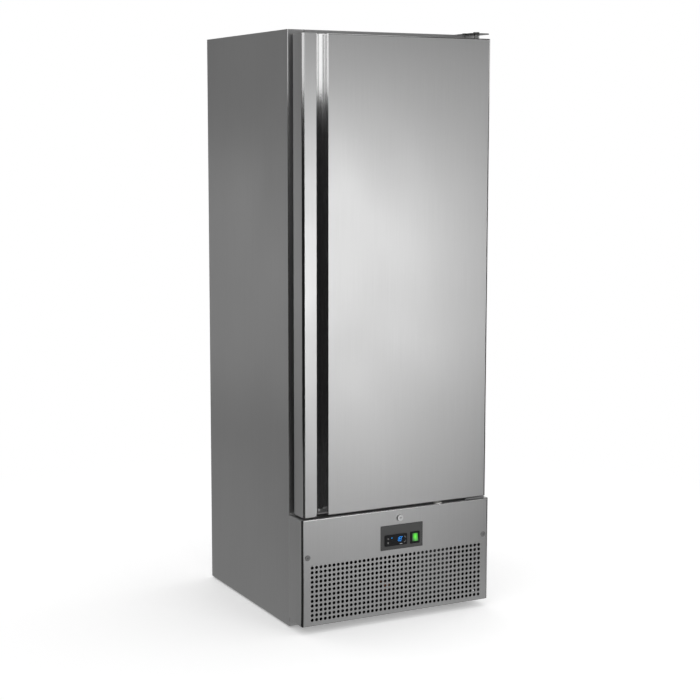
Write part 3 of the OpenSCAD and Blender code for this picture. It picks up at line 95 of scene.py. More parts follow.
# Softboxes: name, place, aim, width and height, brightness
LAMPS = (
    ("door_glow", (0.75, -3.0, 0.9), (0.0, -0.36, 1.0), (1.2, 1.3), 3.50),
    ("panel_glow", (0.8, -2.6, 0.2), (0.0, -0.36, 0.4), (1.6, 0.6), 0.38),
    ("floor_glow", (0.1, -1.25, 0.03), (0.0, -0.37, 0.2), (1.35, 0.8), 0.41),
    ("broad_glow", (1.45, -2.8, 1.1), (0.0, -0.36, 1.0), (2.4, 2.2), 0.12),
    ("front_left", (-2.4, -2.9, 2.5), (0.0, -0.3, 1.2), (1.6, 1.0), 1.50),
    ("left", (-1.95, 2.3, 2.0), (-0.3, 0.0, 1.2), (1.4, 1.3), 0.39),
    ("left_rear", (-1.95, 2.3, 0.8), (-0.3, 0.0, 0.7), (1.4, 1.3), 0.60),
    ("right", (3.4, 0.6, 1.6), (0.3, 0.0, 0.9), (1.6, 2.0), 1.19),
    ("back", (0.8, 3.4, 1.8), (0.0, 0.3, 0.9), (1.8, 1.8), 0.99),
    ("top", (0.0, 0.0, 3.8), (0.0, 0.0, 1.8), (2.4, 2.4), 1.00),
)

# Materials: the range that noise mostly keeps to, its roughness, and the roughness of a sheet's folds
NOISE_RANGE = (0.3, 0.7)
NOISE_ROUGHNESS = 0.55
FOLD_ROUGHNESS = 0.14
# Product of two parts of the surface's direction at which a fold starts and is fully there
FOLD_RANGE = (0.03, 0.35)
# Upward part of the surface's direction over which a face counts as level
LEVEL_FACE = 0.7
# Rocker's glow: centre from its middle, reach across, and each axis's share in the distance
GLOW_OFFSET = Vector((0.0015, -0.004, 0.002))
GLOW_REACH = 0.0105
GLOW_SHARES = (1.0, 0.0, 0.6)

# Display: how far its print stands out of the window and reaches into it
DISPLAY_OUT = 0.00012
DISPLAY_IN = 0.0001
# Digits: foot under the window's middle, and lean and stroke as shares of height and width
DIGIT_DROP = 0.0045
DIGIT_HEIGHT = 0.0135
DIGIT_LEAN = 0.16
DIGIT_STROKE = 0.17
# Digits shown: figure, place from the window's left end, width
SHOWN_DIGITS = (("1", 0.0180, 0.0062), ("8", 0.0277, 0.0072))
# Segments of a digit: ends on a grid of 2 by 3 points, by letter
SEGMENTS = {
    "a": ((0, 2), (1, 2)), "b": ((1, 1), (1, 2)), "c": ((1, 0), (1, 1)), "d": ((0, 0), (1, 0)),
    "e": ((0, 0), (0, 1)), "f": ((0, 1), (0, 2)), "g": ((0, 1), (1, 1)),
}
FIGURES = {"1": "bc", "8": "abcdefg"}
# Degree mark: two ends, each from the window's right end and over the digits' foot, and its width
DEGREE_ENDS = ((0.0076, 0.0118), (0.0052, 0.0153))
DEGREE_WIDTH = 0.0015
# Display's lamp: centre, from the window's left end and over the digits' foot
LAMP_INSET = 0.0014
LAMP_RISE = 0.0130
LAMP_RADIUS = 0.0013
LAMP_SIDES = 16
# Bars under the display: ends from the window's right end, width, rise over the lower frame's middle
BAR_INSETS = ((0.0155, 0.0120), (0.0113, 0.0060))
BAR_WIDTH = 0.0018
BAR_RISE = 0.0004

# Marks on the keys: thickness of the print on either side of the face, width and inset of the lines
PRINT_DEPTH = 0.00008
MARK_WIDTH = 0.0009
MARK_INSET = 0.0018
# Curved arrows: centre from the key's middle, radius, angles in degrees, head in widths of the line
ARROW_ASIDE = 0.0035
ARROW_DROP = 0.0015
ARROW_RADIUS = 0.0042
ARROW_START = -20
ARROW_END = 75
ARROW_STEPS = 8
HEAD_LENGTH = 2.2
HEAD_HALF = 1.6

# Dark crosses of painted shade in the screws' caps, standing in for recesses; the upright arm stands
# out a little further than the level one
CAP_RADIUS = 0.00925
CROSS_REACH = 0.0042
CROSS_WIDTH = 0.0016
CROSS_DEPTH = 0.0004
LEVEL_ARM_OUT = 0.0001
UPRIGHT_ARM_OUT = 0.00012

# Joints of the front band: distance from the middle, half width, clearance under the top, depths
SEAM_X = 0.289
SEAM_HALF = 0.0009
SEAM_CLEARANCE = 0.0005
SEAM_OUT = 0.0001
SEAM_IN = 0.0002

# Black sheet of painted shade in the lower panel, behind its vents: thickness, distance from the
# panel's outside, width of the strips
SHADE_SHEET_THICK = 0.001
SHADE_SHEET_EDGE = 0.004
SHADE_SHEET_STRIP = 0.046

# Lock's key slot, filled with a block of painted shade
SLOT_HALF_LENGTH = 0.004
SLOT_HALF_WIDTH = 0.0008
SLOT_START = 0.0001
SLOT_DEPTH = 0.005


def make_camera():
    """Camera at the photograph's place, with its small roll and its small shift."""
    data = bpy.data.cameras.new("camera")
    data.lens = CAMERA_LENS
    data.shift_y = CAMERA_SHIFT
    data.clip_end = CAMERA_REACH
    forward = Vector((
        math.sin(CAMERA_YAW) * math.cos(CAMERA_PITCH),
        math.cos(CAMERA_YAW) * math.cos(CAMERA_PITCH),
        -math.sin(CAMERA_PITCH),
    ))
    level = Vector((math.cos(CAMERA_YAW), -math.sin(CAMERA_YAW), 0))
    upright = level.cross(forward)
    right = level * math.cos(CAMERA_ROLL) + upright * math.sin(CAMERA_ROLL)
    up = upright * math.cos(CAMERA_ROLL) - level * math.sin(CAMERA_ROLL)
    camera = bpy.data.objects.new("camera", data)
    turn = Matrix((right, up, -forward)).transposed().to_4x4()
    camera.matrix_world = Matrix.Translation(CAMERA_AT) @ turn
    bpy.context.scene.collection.objects.link(camera)
    bpy.context.scene.camera = camera


# Node trees
def fill(tree, node, inputs):
    """Sets a node's sockets, each to a value or to another node's output."""
    for key, value in inputs.items():
        if isinstance(value, bpy.types.NodeSocket):
            tree.links.new(value, node.inputs[key])
        else:
            node.inputs[key].default_value = value


def add(tree, kind, inputs=None, **settings):
    """New shader node with its settings and its sockets' values or links."""
    made = tree.nodes.new(kind)
    for key, value in settings.items():
        setattr(made, key, value)
    fill(tree, made, inputs or {})
    return made


def maths(tree, operation, *values):
    """Output of a Math node on one or two values or links."""
    made = add(tree, "ShaderNodeMath", dict(enumerate(values)), operation=operation)
    return made.outputs[0]


def mix(tree, kind, factor, first, second):
    """Output of a Mix node, RGBA or VECTOR: the first value or link at factor 0, the second at 1."""
    made = add(tree, "ShaderNodeMix", {"Factor": factor}, data_type=kind)
    places = {s.name: i for i, s in enumerate(made.inputs) if s.type == kind}
    fill(tree, made, {places["A"]: first, places["B"]: second})
    return next(s for s in made.outputs if s.type == kind)


def new_material(name):
    """New node material: the material, its tree and its Principled shader."""
    material = bpy.data.materials.new(name)
    material.use_nodes = True
    tree = material.node_tree
    return material, tree, tree.nodes["Principled BSDF"]


def bare_material(name):
    """New node material with nothing in its tree: the material and the tree."""
    material = bpy.data.materials.new(name)
    material.use_nodes = True
    material.node_tree.nodes.clear()
    return material, material.node_tree


def noise(tree, per_metre, detail):
    """Noise in the object's own metres, with so many features per metre on each axis."""
    coords = add(tree, "ShaderNodeTexCoord")
    mapping = add(tree, "ShaderNodeMapping", {
        "Vector": coords.outputs["Object"], "Scale": per_metre,
    })
    texture = add(tree, "ShaderNodeTexNoise", {
        "Vector": mapping.outputs["Vector"], "Scale": 1.0, "Detail": detail,
        "Roughness": NOISE_ROUGHNESS,
    })
    return texture.outputs["Fac"]


def spread(tree, factor, low, high):
    """A factor's middle range, where noise mostly keeps, spread over low to high."""
    made = add(tree, "ShaderNodeMapRange", {
        "Value": factor, "From Min": NOISE_RANGE[0], "From Max": NOISE_RANGE[1],
        "To Min": low, "To Max": high,
    })
    return made.outputs["Result"]


def shade_between(tree, factor, dark, light):
    """Colour between two shades by a factor's middle range."""
    return mix(tree, "RGBA", spread(tree, factor, 0.0, 1.0), (*dark, 1), (*light, 1))


def mottled(tree, factor, colour, low, high):
    """Colour that varies by a factor between two shares of itself."""
    dark, light = (tuple(min(1.0, c * share) for c in colour) for share in (low, high))
    return shade_between(tree, factor, dark, light)


def bump(tree, height, strength, distance):
    """Direction of a surface that a height makes uneven."""
    made = add(tree, "ShaderNodeBump", {
        "Height": height, "Strength": strength, "Distance": distance,
    })
    return made.outputs["Normal"]


def folds(tree):
    """1 on the rounded folds beside a sheet's front or back and 0 on its flats."""
    coords = add(tree, "ShaderNodeTexCoord")
    normal = add(tree, "ShaderNodeSeparateXYZ", {"Vector": coords.outputs["Normal"]})
    upright = maths(tree, "MULTIPLY", normal.outputs["X"], normal.outputs["Y"])
    lying = maths(tree, "MULTIPLY", normal.outputs["Z"], normal.outputs["Y"])
    both = maths(tree, "ADD", maths(tree, "ABSOLUTE", upright), maths(tree, "ABSOLUTE", lying))
    made = add(tree, "ShaderNodeMapRange", {
        "Value": both, "From Min": FOLD_RANGE[0], "From Max": FOLD_RANGE[1],
    })
    return made.outputs["Result"]


def sideways(tree):
    """Direction in which brushed metal spreads its reflections: level round the standing faces, and
    from front to back on the level ones."""
    coords = add(tree, "ShaderNodeTexCoord")
    normal = add(tree, "ShaderNodeSeparateXYZ", {"Vector": coords.outputs["Normal"]})
    rise = maths(tree, "ABSOLUTE", normal.outputs["Z"])
    is_level = maths(tree, "GREATER_THAN", rise, LEVEL_FACE)
    round_z = add(tree, "ShaderNodeTangent", direction_type="RADIAL", axis="Z")
    round_x = add(tree, "ShaderNodeTangent", direction_type="RADIAL", axis="X")
    return mix(tree, "VECTOR", is_level, round_z.outputs["Tangent"], round_x.outputs["Tangent"])


# Materials
def steel(name, colour, roughness, grain=(700, 700, 5)):
    """Brushed sheet: fine grain lines, cloudy patches in the gloss, and folds pressed smooth."""
    material, tree, shader = new_material(name)
    lines = noise(tree, grain, detail=2.0)
    clouds = noise(tree, (3, 3, 2), detail=4.0)
    gloss = add(tree, "ShaderNodeMapRange", {
        "Value": folds(tree),
        "To Min": spread(tree, clouds, roughness - 0.03, roughness + 0.03),
        "To Max": FOLD_ROUGHNESS,
    })
    fill(tree, shader, {
        "Base Color": mottled(tree, lines, colour, 0.98, 1.02),
        "Roughness": gloss.outputs["Result"],
        "Metallic": 1.0,
        "Anisotropic": 0.45,
        "Tangent": sideways(tree),
        "Normal": bump(tree, lines, strength=0.12, distance=0.00005),
    })
    return material


def polished(name, colour, roughness, anisotropic=0.0):
    """Bright metal with faint upright wiping marks, which can spread its reflections sideways."""
    material, tree, shader = new_material(name)
    wipes = noise(tree, (60, 60, 14), detail=4.0)
    fill(tree, shader, {
        "Base Color": mottled(tree, wipes, colour, 0.97, 1.0),
        "Roughness": spread(tree, wipes, roughness * 0.85, roughness * 1.15),
        "Metallic": 1.0,
    })
    if anisotropic:
        fill(tree, shader, {"Anisotropic": anisotropic, "Tangent": sideways(tree)})
    return material


def galvanised(name, colour):
    """Zinc-coated sheet with its spangle of crystals."""
    material, tree, shader = new_material(name)
    coords = add(tree, "ShaderNodeTexCoord")
    cells = add(tree, "ShaderNodeTexVoronoi", {"Vector": coords.outputs["Object"], "Scale": 70.0})
    shades = add(tree, "ShaderNodeSeparateColor", {"Color": cells.outputs["Color"]})
    fill(tree, shader, {
        "Base Color": mottled(tree, shades.outputs["Red"], colour, 0.95, 1.04),
        "Roughness": spread(tree, shades.outputs["Green"], 0.42, 0.5),
        "Metallic": 0.85,
    })
    return material


def moulded(name, colour, roughness, pimples=1400, relief=0.12, specular=0.5):
    """Moulded plastic or rubber with a fine eroded surface and a little unevenness of shade."""
    material, tree, shader = new_material(name)
    grain = noise(tree, (pimples,) * 3, detail=2.0)
    patches = noise(tree, (14, 14, 9), detail=3.0)
    fill(tree, shader, {
        "Base Color": mottled(tree, patches, colour, 0.9, 1.1),
        "Roughness": spread(tree, patches, roughness - 0.05, roughness + 0.05),
        "Specular IOR Level": specular,
        "Normal": bump(tree, grain, strength=relief, distance=0.00008),
    })
    return material


def painted(name, colour, roughness, metallic=0.0):
    """Sprayed or powder-coated metal with a faint orange peel."""
    material, tree, shader = new_material(name)
    peel = noise(tree, (220,) * 3, detail=1.0)
    patches = noise(tree, (4, 4, 3), detail=4.0)
    fill(tree, shader, {
        "Base Color": mottled(tree, patches, colour, 0.95, 1.06),
        "Roughness": spread(tree, peel, roughness - 0.03, roughness + 0.03),
        "Metallic": metallic,
        "Normal": bump(tree, peel, strength=0.08, distance=0.0002),
    })
    return material


def copper(name):
    """Copper tube with browned, duller patches."""
    material, tree, shader = new_material(name)
    patches = noise(tree, (45,) * 3, detail=4.0)
    fill(tree, shader, {
        "Base Color": shade_between(tree, patches, (0.42, 0.17, 0.09), (0.83, 0.44, 0.29)),
        "Roughness": spread(tree, patches, 0.42, 0.24),
        "Metallic": 1.0,
    })
    return material


def foam(name):
    """Rigid foam with small open cells."""
    material, tree, shader = new_material(name)
    cells = noise(tree, (520,) * 3, detail=4.0)
    fill(tree, shader, {
        "Base Color": shade_between(tree, cells, (0.74, 0.64, 0.36), (0.93, 0.86, 0.6)),
        "Roughness": 0.9,
        "Normal": bump(tree, cells, strength=0.5, distance=0.0006),
    })
    return material


def lit(name, core, rim, body, centre, reach, shares):
    """Lit plastic whose glow fades from a bright core to a darker rim, at each axis's own rate."""
    material, tree, shader = new_material(name)
    coords = add(tree, "ShaderNodeTexCoord")
    offset = add(tree, "ShaderNodeVectorMath", {0: coords.outputs["Object"], 1: centre},
                 operation="SUBTRACT")
    shrunk = add(tree, "ShaderNodeVectorMath", {0: offset.outputs["Vector"], 1: shares},
                 operation="MULTIPLY")
    away = add(tree, "ShaderNodeVectorMath", {0: shrunk.outputs["Vector"]}, operation="LENGTH")
    fade = add(tree, "ShaderNodeMapRange", {
        "Value": away.outputs["Value"], "From Min": 0.0, "From Max": reach,
        "To Min": 0.0, "To Max": 1.0,
    })
    mottle = noise(tree, (300,) * 3, detail=2.0)
    fill(tree, shader, {
        "Base Color": mottled(tree, mottle, body, 0.85, 1.0),
        "Roughness": 0.25,
        "Emission Color": mix(tree, "RGBA", fade.outputs["Result"], (*core, 1), (*rim, 1)),
        "Emission Strength": 1.0,
    })
    return material


def printed(name, colour, glow=0.0):
    """Thin print or lit segment, slightly worn."""
    material, tree, shader = new_material(name)
    shade = mottled(tree, noise(tree, (900,) * 3, detail=2.0), colour, 0.85, 1.0)
    fill(tree, shader, {"Base Color": shade, "Roughness": 0.5})
    if glow:
        fill(tree, shader, {"Emission Color": shade, "Emission Strength": glow})
    return material


def finishes():
    """Every CAD node's finish, by the record's slot names."""
    low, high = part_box("power_rocker")
    return {
        "side_steel": steel("side_steel", (0.6, 0.6, 0.6), 0.42),
        "door_steel": steel("door_steel", (0.63, 0.63, 0.63), 0.42),
        "panel_steel": steel("panel_steel", (0.62, 0.62, 0.62), 0.42),
        "polished_steel": polished("polished_steel", (0.92, 0.92, 0.92), 0.14, 0.9),
        "galvanised_steel": galvanised("galvanised_steel", (0.6, 0.61, 0.62)),
        "liner_steel": steel("liner_steel", (0.68, 0.69, 0.7), 0.36, grain=(5, 700, 700)),
        "foam": foam("foam"),
        "breaker_plastic": moulded("breaker_plastic", (0.035, 0.035, 0.037), 0.5),
        "wire_coating": painted("wire_coating", (0.72, 0.72, 0.7), 0.35),
        "evaporator_cover_metal": painted("evaporator_cover_metal", (0.6, 0.61, 0.62), 0.4,
                                          metallic=0.6),
        "fin_aluminium": steel("fin_aluminium", (0.72, 0.73, 0.75), 0.4, grain=(80, 80, 900)),
        "motor_black": painted("motor_black", (0.035, 0.035, 0.037), 0.45),
        "fan_plastic": moulded("fan_plastic", (0.02, 0.02, 0.022), 0.4),
        "fan_aluminium": steel("fan_aluminium", (0.7, 0.71, 0.72), 0.38, grain=(300, 300, 300)),
        "tube_plastic": moulded("tube_plastic", (0.66, 0.66, 0.62), 0.45),
        "compressor_paint": painted("compressor_paint", (0.015, 0.015, 0.016), 0.32),
        "condenser_paint": painted("condenser_paint", (0.03, 0.03, 0.032), 0.5),
        "copper": copper("copper"),
        # box near black: a dark plastic, set darker still as painted shade for the inside seen
        # through the vents
        "box_plastic": moulded("box_plastic", (0.035, 0.035, 0.036), 0.5),
        "black_plastic": moulded("black_plastic", (0.02, 0.02, 0.021), 0.45),
        "control_grey": moulded("control_grey", (0.05, 0.05, 0.05), 0.5, pimples=2600,
                                relief=0.06),
        "bezel_black": moulded("bezel_black", (0.008, 0.008, 0.009), 0.4, relief=0.05,
                               specular=0.2),
        "display_blue": moulded("display_blue", (0.006, 0.007, 0.009), 0.2, relief=0.0,
                                specular=0.25),
        "key_black": moulded("key_black", (0.012, 0.012, 0.013), 0.42, relief=0.1, specular=0.3),
        "rocker_green": lit("rocker_green", core=(0.12, 1.0, 0.04), rim=(0.02, 0.10, 0.02),
                            body=(0.03, 0.06, 0.03), centre=(low + high) / 2 + GLOW_OFFSET,
                            reach=GLOW_REACH, shares=GLOW_SHARES),
        "cap_grey": moulded("cap_grey", (0.14, 0.14, 0.14), 0.42),
        "lock_nickel": polished("lock_nickel", (0.8, 0.8, 0.8), 0.3),
        "hinge_dark": painted("hinge_dark", (0.03, 0.03, 0.03), 0.4),
        "bolt_steel": steel("bolt_steel", (0.16, 0.16, 0.16), 0.35, grain=(500, 500, 500)),
        "bracket_steel": steel("bracket_steel", (0.4, 0.4, 0.4), 0.38, grain=(5, 500, 500)),
        # gasket near black: the rubber's own dark colour, set darker still as painted shade for the
        # gap round the door
        "gasket_grey": moulded("gasket_grey", (0.014, 0.014, 0.015), 0.6, relief=0.05,
                               specular=0.3),
        "nylon": moulded("nylon", (0.7, 0.7, 0.66), 0.5),
        "glide_black": moulded("glide_black", (0.02, 0.02, 0.02), 0.6),
    }


def dress_nodes(finish):
    """Gives every CAD node the finish of its slot in the record."""
    for part in frame["record"]["subparts"]:
        shown = nodes[part["node"]].data.materials
        shown.clear()
        shown.append(finish[part["material_slot"]])


# Studio
def make_world():
    """White background for the camera, reflections and glass, and an even grey fill for the rest."""
    world = bpy.data.worlds.new("studio")
    bpy.context.scene.world = world
    world.use_nodes = True
    tree = world.node_tree
    path = add(tree, "ShaderNodeLightPath")
    seen = maths(tree, "MAXIMUM", path.outputs["Is Camera Ray"], path.outputs["Is Glossy Ray"])
    seen = maths(tree, "MAXIMUM", seen, path.outputs["Is Transmission Ray"])
    level = add(tree, "ShaderNodeMapRange", {"Value": seen, "To Min": FILL_LEVEL, "To Max": 1.0})
    fill(tree, tree.nodes["Background"], {
        "Strength": level.outputs["Result"], "Color": (1, 1, 1, 1),
    })


def link(name, mesh, material):
    """New object in the scene, with its mesh and material."""
    made = bpy.data.objects.new(name, mesh)
    mesh.materials.append(material)
    bpy.context.scene.collection.objects.link(made)
    return made


def level_mesh(name, low, high, z):
    """Level rectangle between two corners of X and Y."""
    mesh = bpy.data.meshes.new(name)
    corners = [(low[0], low[1], z), (high[0], low[1], z), (high[0], high[1], z), (low[0], high[1], z)]
    mesh.from_pydata(corners, [], [(0, 1, 2, 3)])
    return mesh


def make_floor():
    """Pale floor that keeps the shadow near the object and runs out into the white background."""
    material, tree = bare_material("floor")
    coords = add(tree, "ShaderNodeTexCoord")
    away = add(tree, "ShaderNodeVectorMath", {0: coords.outputs["Object"]}, operation="LENGTH")
    fade = add(tree, "ShaderNodeMapRange", {
        "Value": away.outputs["Value"], "From Min": FLOOR_FADE[0], "From Max": FLOOR_FADE[1],
    }, interpolation_type="SMOOTHSTEP")
    to_camera = add(tree, "ShaderNodeLightPath").outputs["Is Camera Ray"]
    white_share = maths(tree, "MULTIPLY", fade.outputs["Result"], to_camera)
    lift = maths(tree, "MULTIPLY", to_camera, FLOOR_LIFT)
    plain = add(tree, "ShaderNodeBsdfDiffuse", {"Color": FLOOR_COLOUR})
    paler = add(tree, "ShaderNodeEmission", {"Strength": lift})
    near = add(tree, "ShaderNodeAddShader", {0: plain.outputs[0], 1: paler.outputs[0]})
    white = add(tree, "ShaderNodeEmission", {"Strength": 1.0})
    both = add(tree, "ShaderNodeMixShader", {
        0: white_share, 1: near.outputs[0], 2: white.outputs[0],
    })
    add(tree, "ShaderNodeOutputMaterial", {"Surface": both.outputs[0]})
    half = FLOOR_SIZE / 2
    link("floor", level_mesh("floor", (-half, -half), (half, half), 0), material)


def reflection_card(name, mesh, shade):
    """A glowing card that shows in gloss alone, and neither lights, shades nor hides anything."""
    material, tree = bare_material(name)
    glow = add(tree, "ShaderNodeEmission", {"Color": (shade, shade, shade, 1)})
    add(tree, "ShaderNodeOutputMaterial", {"Surface": glow.outputs[0]})
    card = link(name, mesh, material)
    card.visible_camera = False
    card.visible_diffuse = False
    card.visible_shadow = False
    card.visible_transmission = False


def wall_mesh(name, start, end, low, high):
    """Part of a round wall about the object, between two azimuths in degrees from the front."""
    points = []
    for i in range(WALL_STEPS + 1):
        a = math.radians(start + (end - start) * i / WALL_STEPS)
        x = WALL_RADIUS * math.sin(a)
        y = -WALL_RADIUS * math.cos(a)
        points += [(x, y, low), (x, y, high)]
    faces = [(2 * i, 2 * i + 2, 2 * i + 3, 2 * i + 1) for i in range(WALL_STEPS)]
    mesh = bpy.data.meshes.new(name)
    mesh.from_pydata(points, [], faces)
    return mesh


def softbox(name, at, aim, size, level, unlit):
    """Square-cornered area lamp of a given brightness, aimed at a point; one object stays unlit."""
    data = bpy.data.lights.new(name, "AREA")
    data.shape = "RECTANGLE"
    data.size, data.size_y = size
    data.energy = level * math.pi * size[0] * size[1]
    lamp = bpy.data.objects.new(name, data)
    lamp.location = at
    lamp.visible_camera = False
    lamp.rotation_euler = (Vector(aim) - Vector(at)).to_track_quat("-Z", "Y").to_euler()
    bpy.context.scene.collection.objects.link(lamp)
    group = bpy.data.collections.new(name + "_unlit")
    group.objects.link(unlit)
    for item in group.collection_objects:
        item.light_linking.link_state = "EXCLUDE"
    lamp.light_linking.receiver_collection = group


def light_studio():
    """Cards all round for reflections, and softboxes that light all but the bright grip channel."""
    for name, start, end, low, high, shade in WALLS:
        reflection_card(name, wall_mesh(name, start, end, low, high), shade)
    for name, low, high, z, shade in CARDS:
        reflection_card(name, level_mesh(name, low, high, z), shade)
    for name, at, aim, size, level in LAMPS:
        softbox(name, at, aim, size, level, unlit=nodes["door_grip_channel"])


# Small pieces: points and outlines hold X and Z, and depths are the Y of front and back
def piece(name, shape, material, body):
    """Object from a bmesh, riding on a body, with its finish's slot."""
    mesh = bpy.data.meshes.new(name)
    shape.to_mesh(mesh)
    shape.free()
    made = link(name, mesh, material)
    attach(made, body)


def plate_from_outline(shape, outline, depths):
    """Flat solid from an outline, between two depths."""
    front, back = ([shape.verts.new((x, y, z)) for x, z in outline] for y in depths)
    count = len(outline)
    shape.faces.new(front)
    shape.faces.new(list(reversed(back)))
    for i in range(count):
        j = (i + 1) % count
        shape.faces.new((front[j], front[i], back[i], back[j]))
    bmesh.ops.recalc_face_normals(shape, faces=shape.faces)


def block(shape, low, high):
    """Square-cornered solid between two corners of X, Y and Z."""
    outline = [(low[0], low[2]), (high[0], low[2]), (high[0], high[2]), (low[0], high[2])]
    plate_from_outline(shape, outline, (low[1], high[1]))


def bar(shape, a, b, width, depths):
    """Bar with pointed ends between two points, as a display's segment."""
    start, end = Vector(a), Vector(b)
    along = (end - start).normalized()
    side = Vector((-along[1], along[0])) * width / 2
    tip = along * width / 2
    outline = [start, start + tip + side, end - tip + side, end, end - tip - side, start + tip - side]
    plate_from_outline(shape, outline, depths)


def print_depths(face):
    """Depths of a print on a face that looks forward."""
    return (face - PRINT_DEPTH, face + PRINT_DEPTH)


def on_circle(centre, radius, angle):
    """Point on a circle, at an angle in radians."""
    return Vector((centre[0] + radius * math.cos(angle), centre[1] + radius * math.sin(angle)))


def curved_arrow(shape, centre, start, end, depths):
    """Arc of short bars between two angles in degrees, with a head at its end."""
    angles = [math.radians(start + (end - start) * i / ARROW_STEPS) for i in range(ARROW_STEPS + 1)]
    points = [on_circle(centre, ARROW_RADIUS, angle) for angle in angles]
    for a, b in zip(points, points[1:]):
        bar(shape, a, b, MARK_WIDTH, depths)
    foot = points[-1]
    along = (foot - points[-2]).normalized()
    side = Vector((-along[1], along[0])) * MARK_WIDTH * HEAD_HALF
    outline = [foot + along * MARK_WIDTH * HEAD_LENGTH, foot + side, foot - side]
    plate_from_outline(shape, outline, depths)


def digit(shape, figure, corner, width, depths):
    """Seven-segment digit that leans to the right."""
    for letter in FIGURES[figure]:
        ends = []
        for column, row in SEGMENTS[letter]:
            z = row * DIGIT_HEIGHT / 2
            ends.append((corner[0] + column * width + z * DIGIT_LEAN, corner[1] + z))
        bar(shape, ends[0], ends[1], width * DIGIT_STROKE, depths)


def make_display():
    """Digits and degree mark, and a small lamp, in the controller's window."""
    low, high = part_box("controller_display")
    segment_blue = printed("display_segments", (0.006, 0.2, 0.66), glow=1.35)
    lamp_blue = printed("display_lamp", (0.006, 0.3, 0.8), glow=1.2)
    depths = (low.y - DISPLAY_OUT, low.y + DISPLAY_IN)
    foot = (low.z + high.z) / 2 - DIGIT_DROP
    shape = bmesh.new()
    for figure, place, width in SHOWN_DIGITS:
        digit(shape, figure, (low.x + place, foot), width, depths)
    ends = [(high.x - inset, foot + rise) for inset, rise in DEGREE_ENDS]
    bar(shape, ends[0], ends[1], DEGREE_WIDTH, depths)
    piece("display_digits", shape, segment_blue, "cabinet")
    shape = bmesh.new()
    centre = (low.x + LAMP_INSET, foot + LAMP_RISE)
    ring = [on_circle(centre, LAMP_RADIUS, i * math.tau / LAMP_SIDES) for i in range(LAMP_SIDES)]
    plate_from_outline(shape, ring, depths)
    piece("display_lamp", shape, lamp_blue, "cabinet")


def make_legends():
    """Plain marks: curved arrows on two keys, rows of bars on the others and under the display."""
    print_grey = printed("legend_print", (0.34, 0.34, 0.33))
    print_light = printed("legend_print_light", (0.62, 0.62, 0.61))
    for name, way in (("key_up", 1), ("key_down", -1)):
        low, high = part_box(name)
        centre = ((low.x + high.x) / 2 - ARROW_ASIDE, (low.z + high.z) / 2 - ARROW_DROP * way)
        shape = bmesh.new()
        curved_arrow(shape, centre, ARROW_START * way, ARROW_END * way, print_depths(low.y))
        piece(name + "_mark", shape, print_grey, name)
    for name, rows in (("key_set", 2), ("key_defrost", 3)):
        low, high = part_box(name)
        left, right = low.x + MARK_INSET, high.x - MARK_INSET
        shape = bmesh.new()
        for i in range(rows):
            z = low.z + (i + 1) * (high.z - low.z) / (rows + 1)
            bar(shape, (left, z), (right, z), MARK_WIDTH, print_depths(low.y))
        piece(name + "_mark", shape, print_grey, name)
    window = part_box("controller_display")
    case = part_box("controller_case")
    z = (window[0].z + case[0].z) / 2 + BAR_RISE
    shape = bmesh.new()
    for insets in BAR_INSETS:
        ends = [(window[1].x - inset, z) for inset in insets]
        bar(shape, ends[0], ends[1], BAR_WIDTH, print_depths(case[0].y))
    piece("controller_bar", shape, print_light, "cabinet")


def make_cap_crosses():
    """Dark cross on each of the panel's screw caps: painted shade that stands in for a recess."""
    low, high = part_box("panel_screws")
    z = (low.z + high.z) / 2
    # the cross's near-black colour is painted shade for the recess in each cap
    dark = moulded("cap_cross", (0.06, 0.06, 0.06), 0.5)
    back = low.y + CROSS_DEPTH
    for name, x in (("left", low.x + CAP_RADIUS), ("right", high.x - CAP_RADIUS)):
        shape = bmesh.new()
        bar(shape, (x - CROSS_REACH, z), (x + CROSS_REACH, z), CROSS_WIDTH,
            (low.y - LEVEL_ARM_OUT, back))
        bar(shape, (x, z - CROSS_REACH), (x, z + CROSS_REACH), CROSS_WIDTH,
            (low.y - UPRIGHT_ARM_OUT, back))
        piece("cap_cross_" + name, shape, dark, "cabinet")


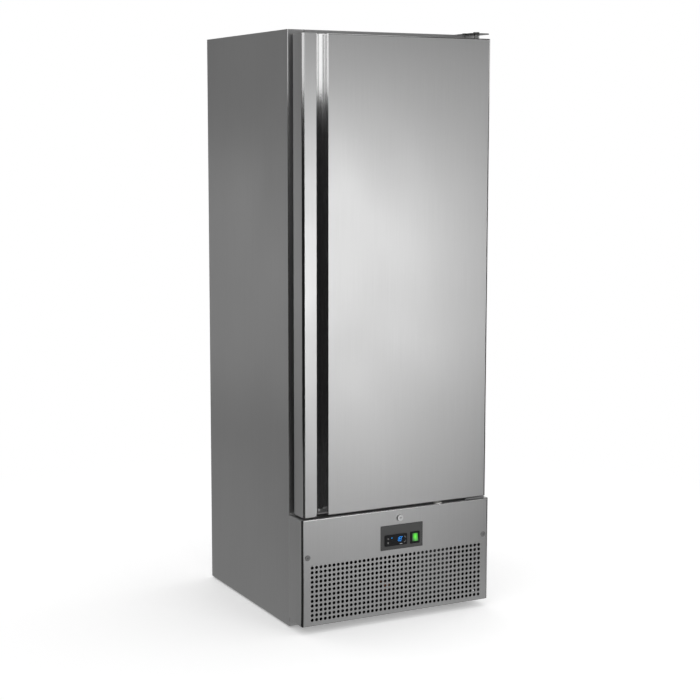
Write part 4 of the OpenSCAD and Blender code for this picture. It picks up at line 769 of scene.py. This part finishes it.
def make_seams():
    """Joints in the front band over the door, left and right of its middle sheet, filled with dark
    blocks of painted shadow.
    """
    low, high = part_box("top_panel")
    # near-black colour is painted shadow in the joints
    dark = moulded("seam_shadow", (0.02, 0.02, 0.02), 0.7, relief=0.02)
    front, foot = low.y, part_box("door_outer_panel")[1].z
    for name, x in (("left", -SEAM_X), ("right", SEAM_X)):
        shape = bmesh.new()
        block(shape, (x - SEAM_HALF, front - SEAM_OUT, foot),
              (x + SEAM_HALF, front + SEAM_IN, high.z - SEAM_CLEARANCE))
        piece("fascia_seam_" + name, shape, dark, "cabinet")


def make_grille_shade_sheet():
    """Black sheet in the lower panel, painted shade behind its vents: a sheet over its bottom and a
    strip on each rear flange.
    """
    low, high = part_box("lower_panel")
    # near-black colour is painted shade for the dark inside seen through the vents
    dark = moulded("grille_shade_sheet", (0.008, 0.008, 0.008), 0.8, relief=0.3, specular=0.1)
    sheet_top = low.z + 3 * SHADE_SHEET_THICK
    shape = bmesh.new()
    block(shape, (low.x + SHADE_SHEET_EDGE, low.y + SHADE_SHEET_EDGE, low.z + 2 * SHADE_SHEET_THICK),
          (high.x - SHADE_SHEET_EDGE, high.y, sheet_top))
    for x in (low.x + SHADE_SHEET_EDGE, high.x - SHADE_SHEET_EDGE - SHADE_SHEET_STRIP):
        block(shape, (x, high.y - 2 * SHADE_SHEET_THICK, sheet_top),
              (x + SHADE_SHEET_STRIP, high.y - SHADE_SHEET_THICK, high.z - SHADE_SHEET_EDGE))
    piece("grille_shade_sheet", shape, dark, "cabinet")


def make_slot_shade():
    """Painted shade in the lock's key slot: a dark block that turns with the barrel."""
    low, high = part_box("lock_barrel")
    x, z = (low.x + high.x) / 2, (low.z + high.z) / 2
    # near-black colour is painted shade of the slot's inside
    dark = moulded("key_slot_shade", (0.01, 0.01, 0.01), 0.7, relief=0.02, specular=0.1)
    shape = bmesh.new()
    block(shape, (x - SLOT_HALF_LENGTH, low.y + SLOT_START, z - SLOT_HALF_WIDTH),
          (x + SLOT_HALF_LENGTH, low.y + SLOT_DEPTH, z + SLOT_HALF_WIDTH))
    piece("key_slot_shade", shape, dark, "lock")


make_camera()
make_world()
make_floor()
light_studio()
dress_nodes(finishes())
make_display()
make_legends()
make_cap_crosses()
make_seams()
make_grille_shade_sheet()
make_slot_shade()

scene = bpy.context.scene
scene.view_settings.view_transform = "Standard"
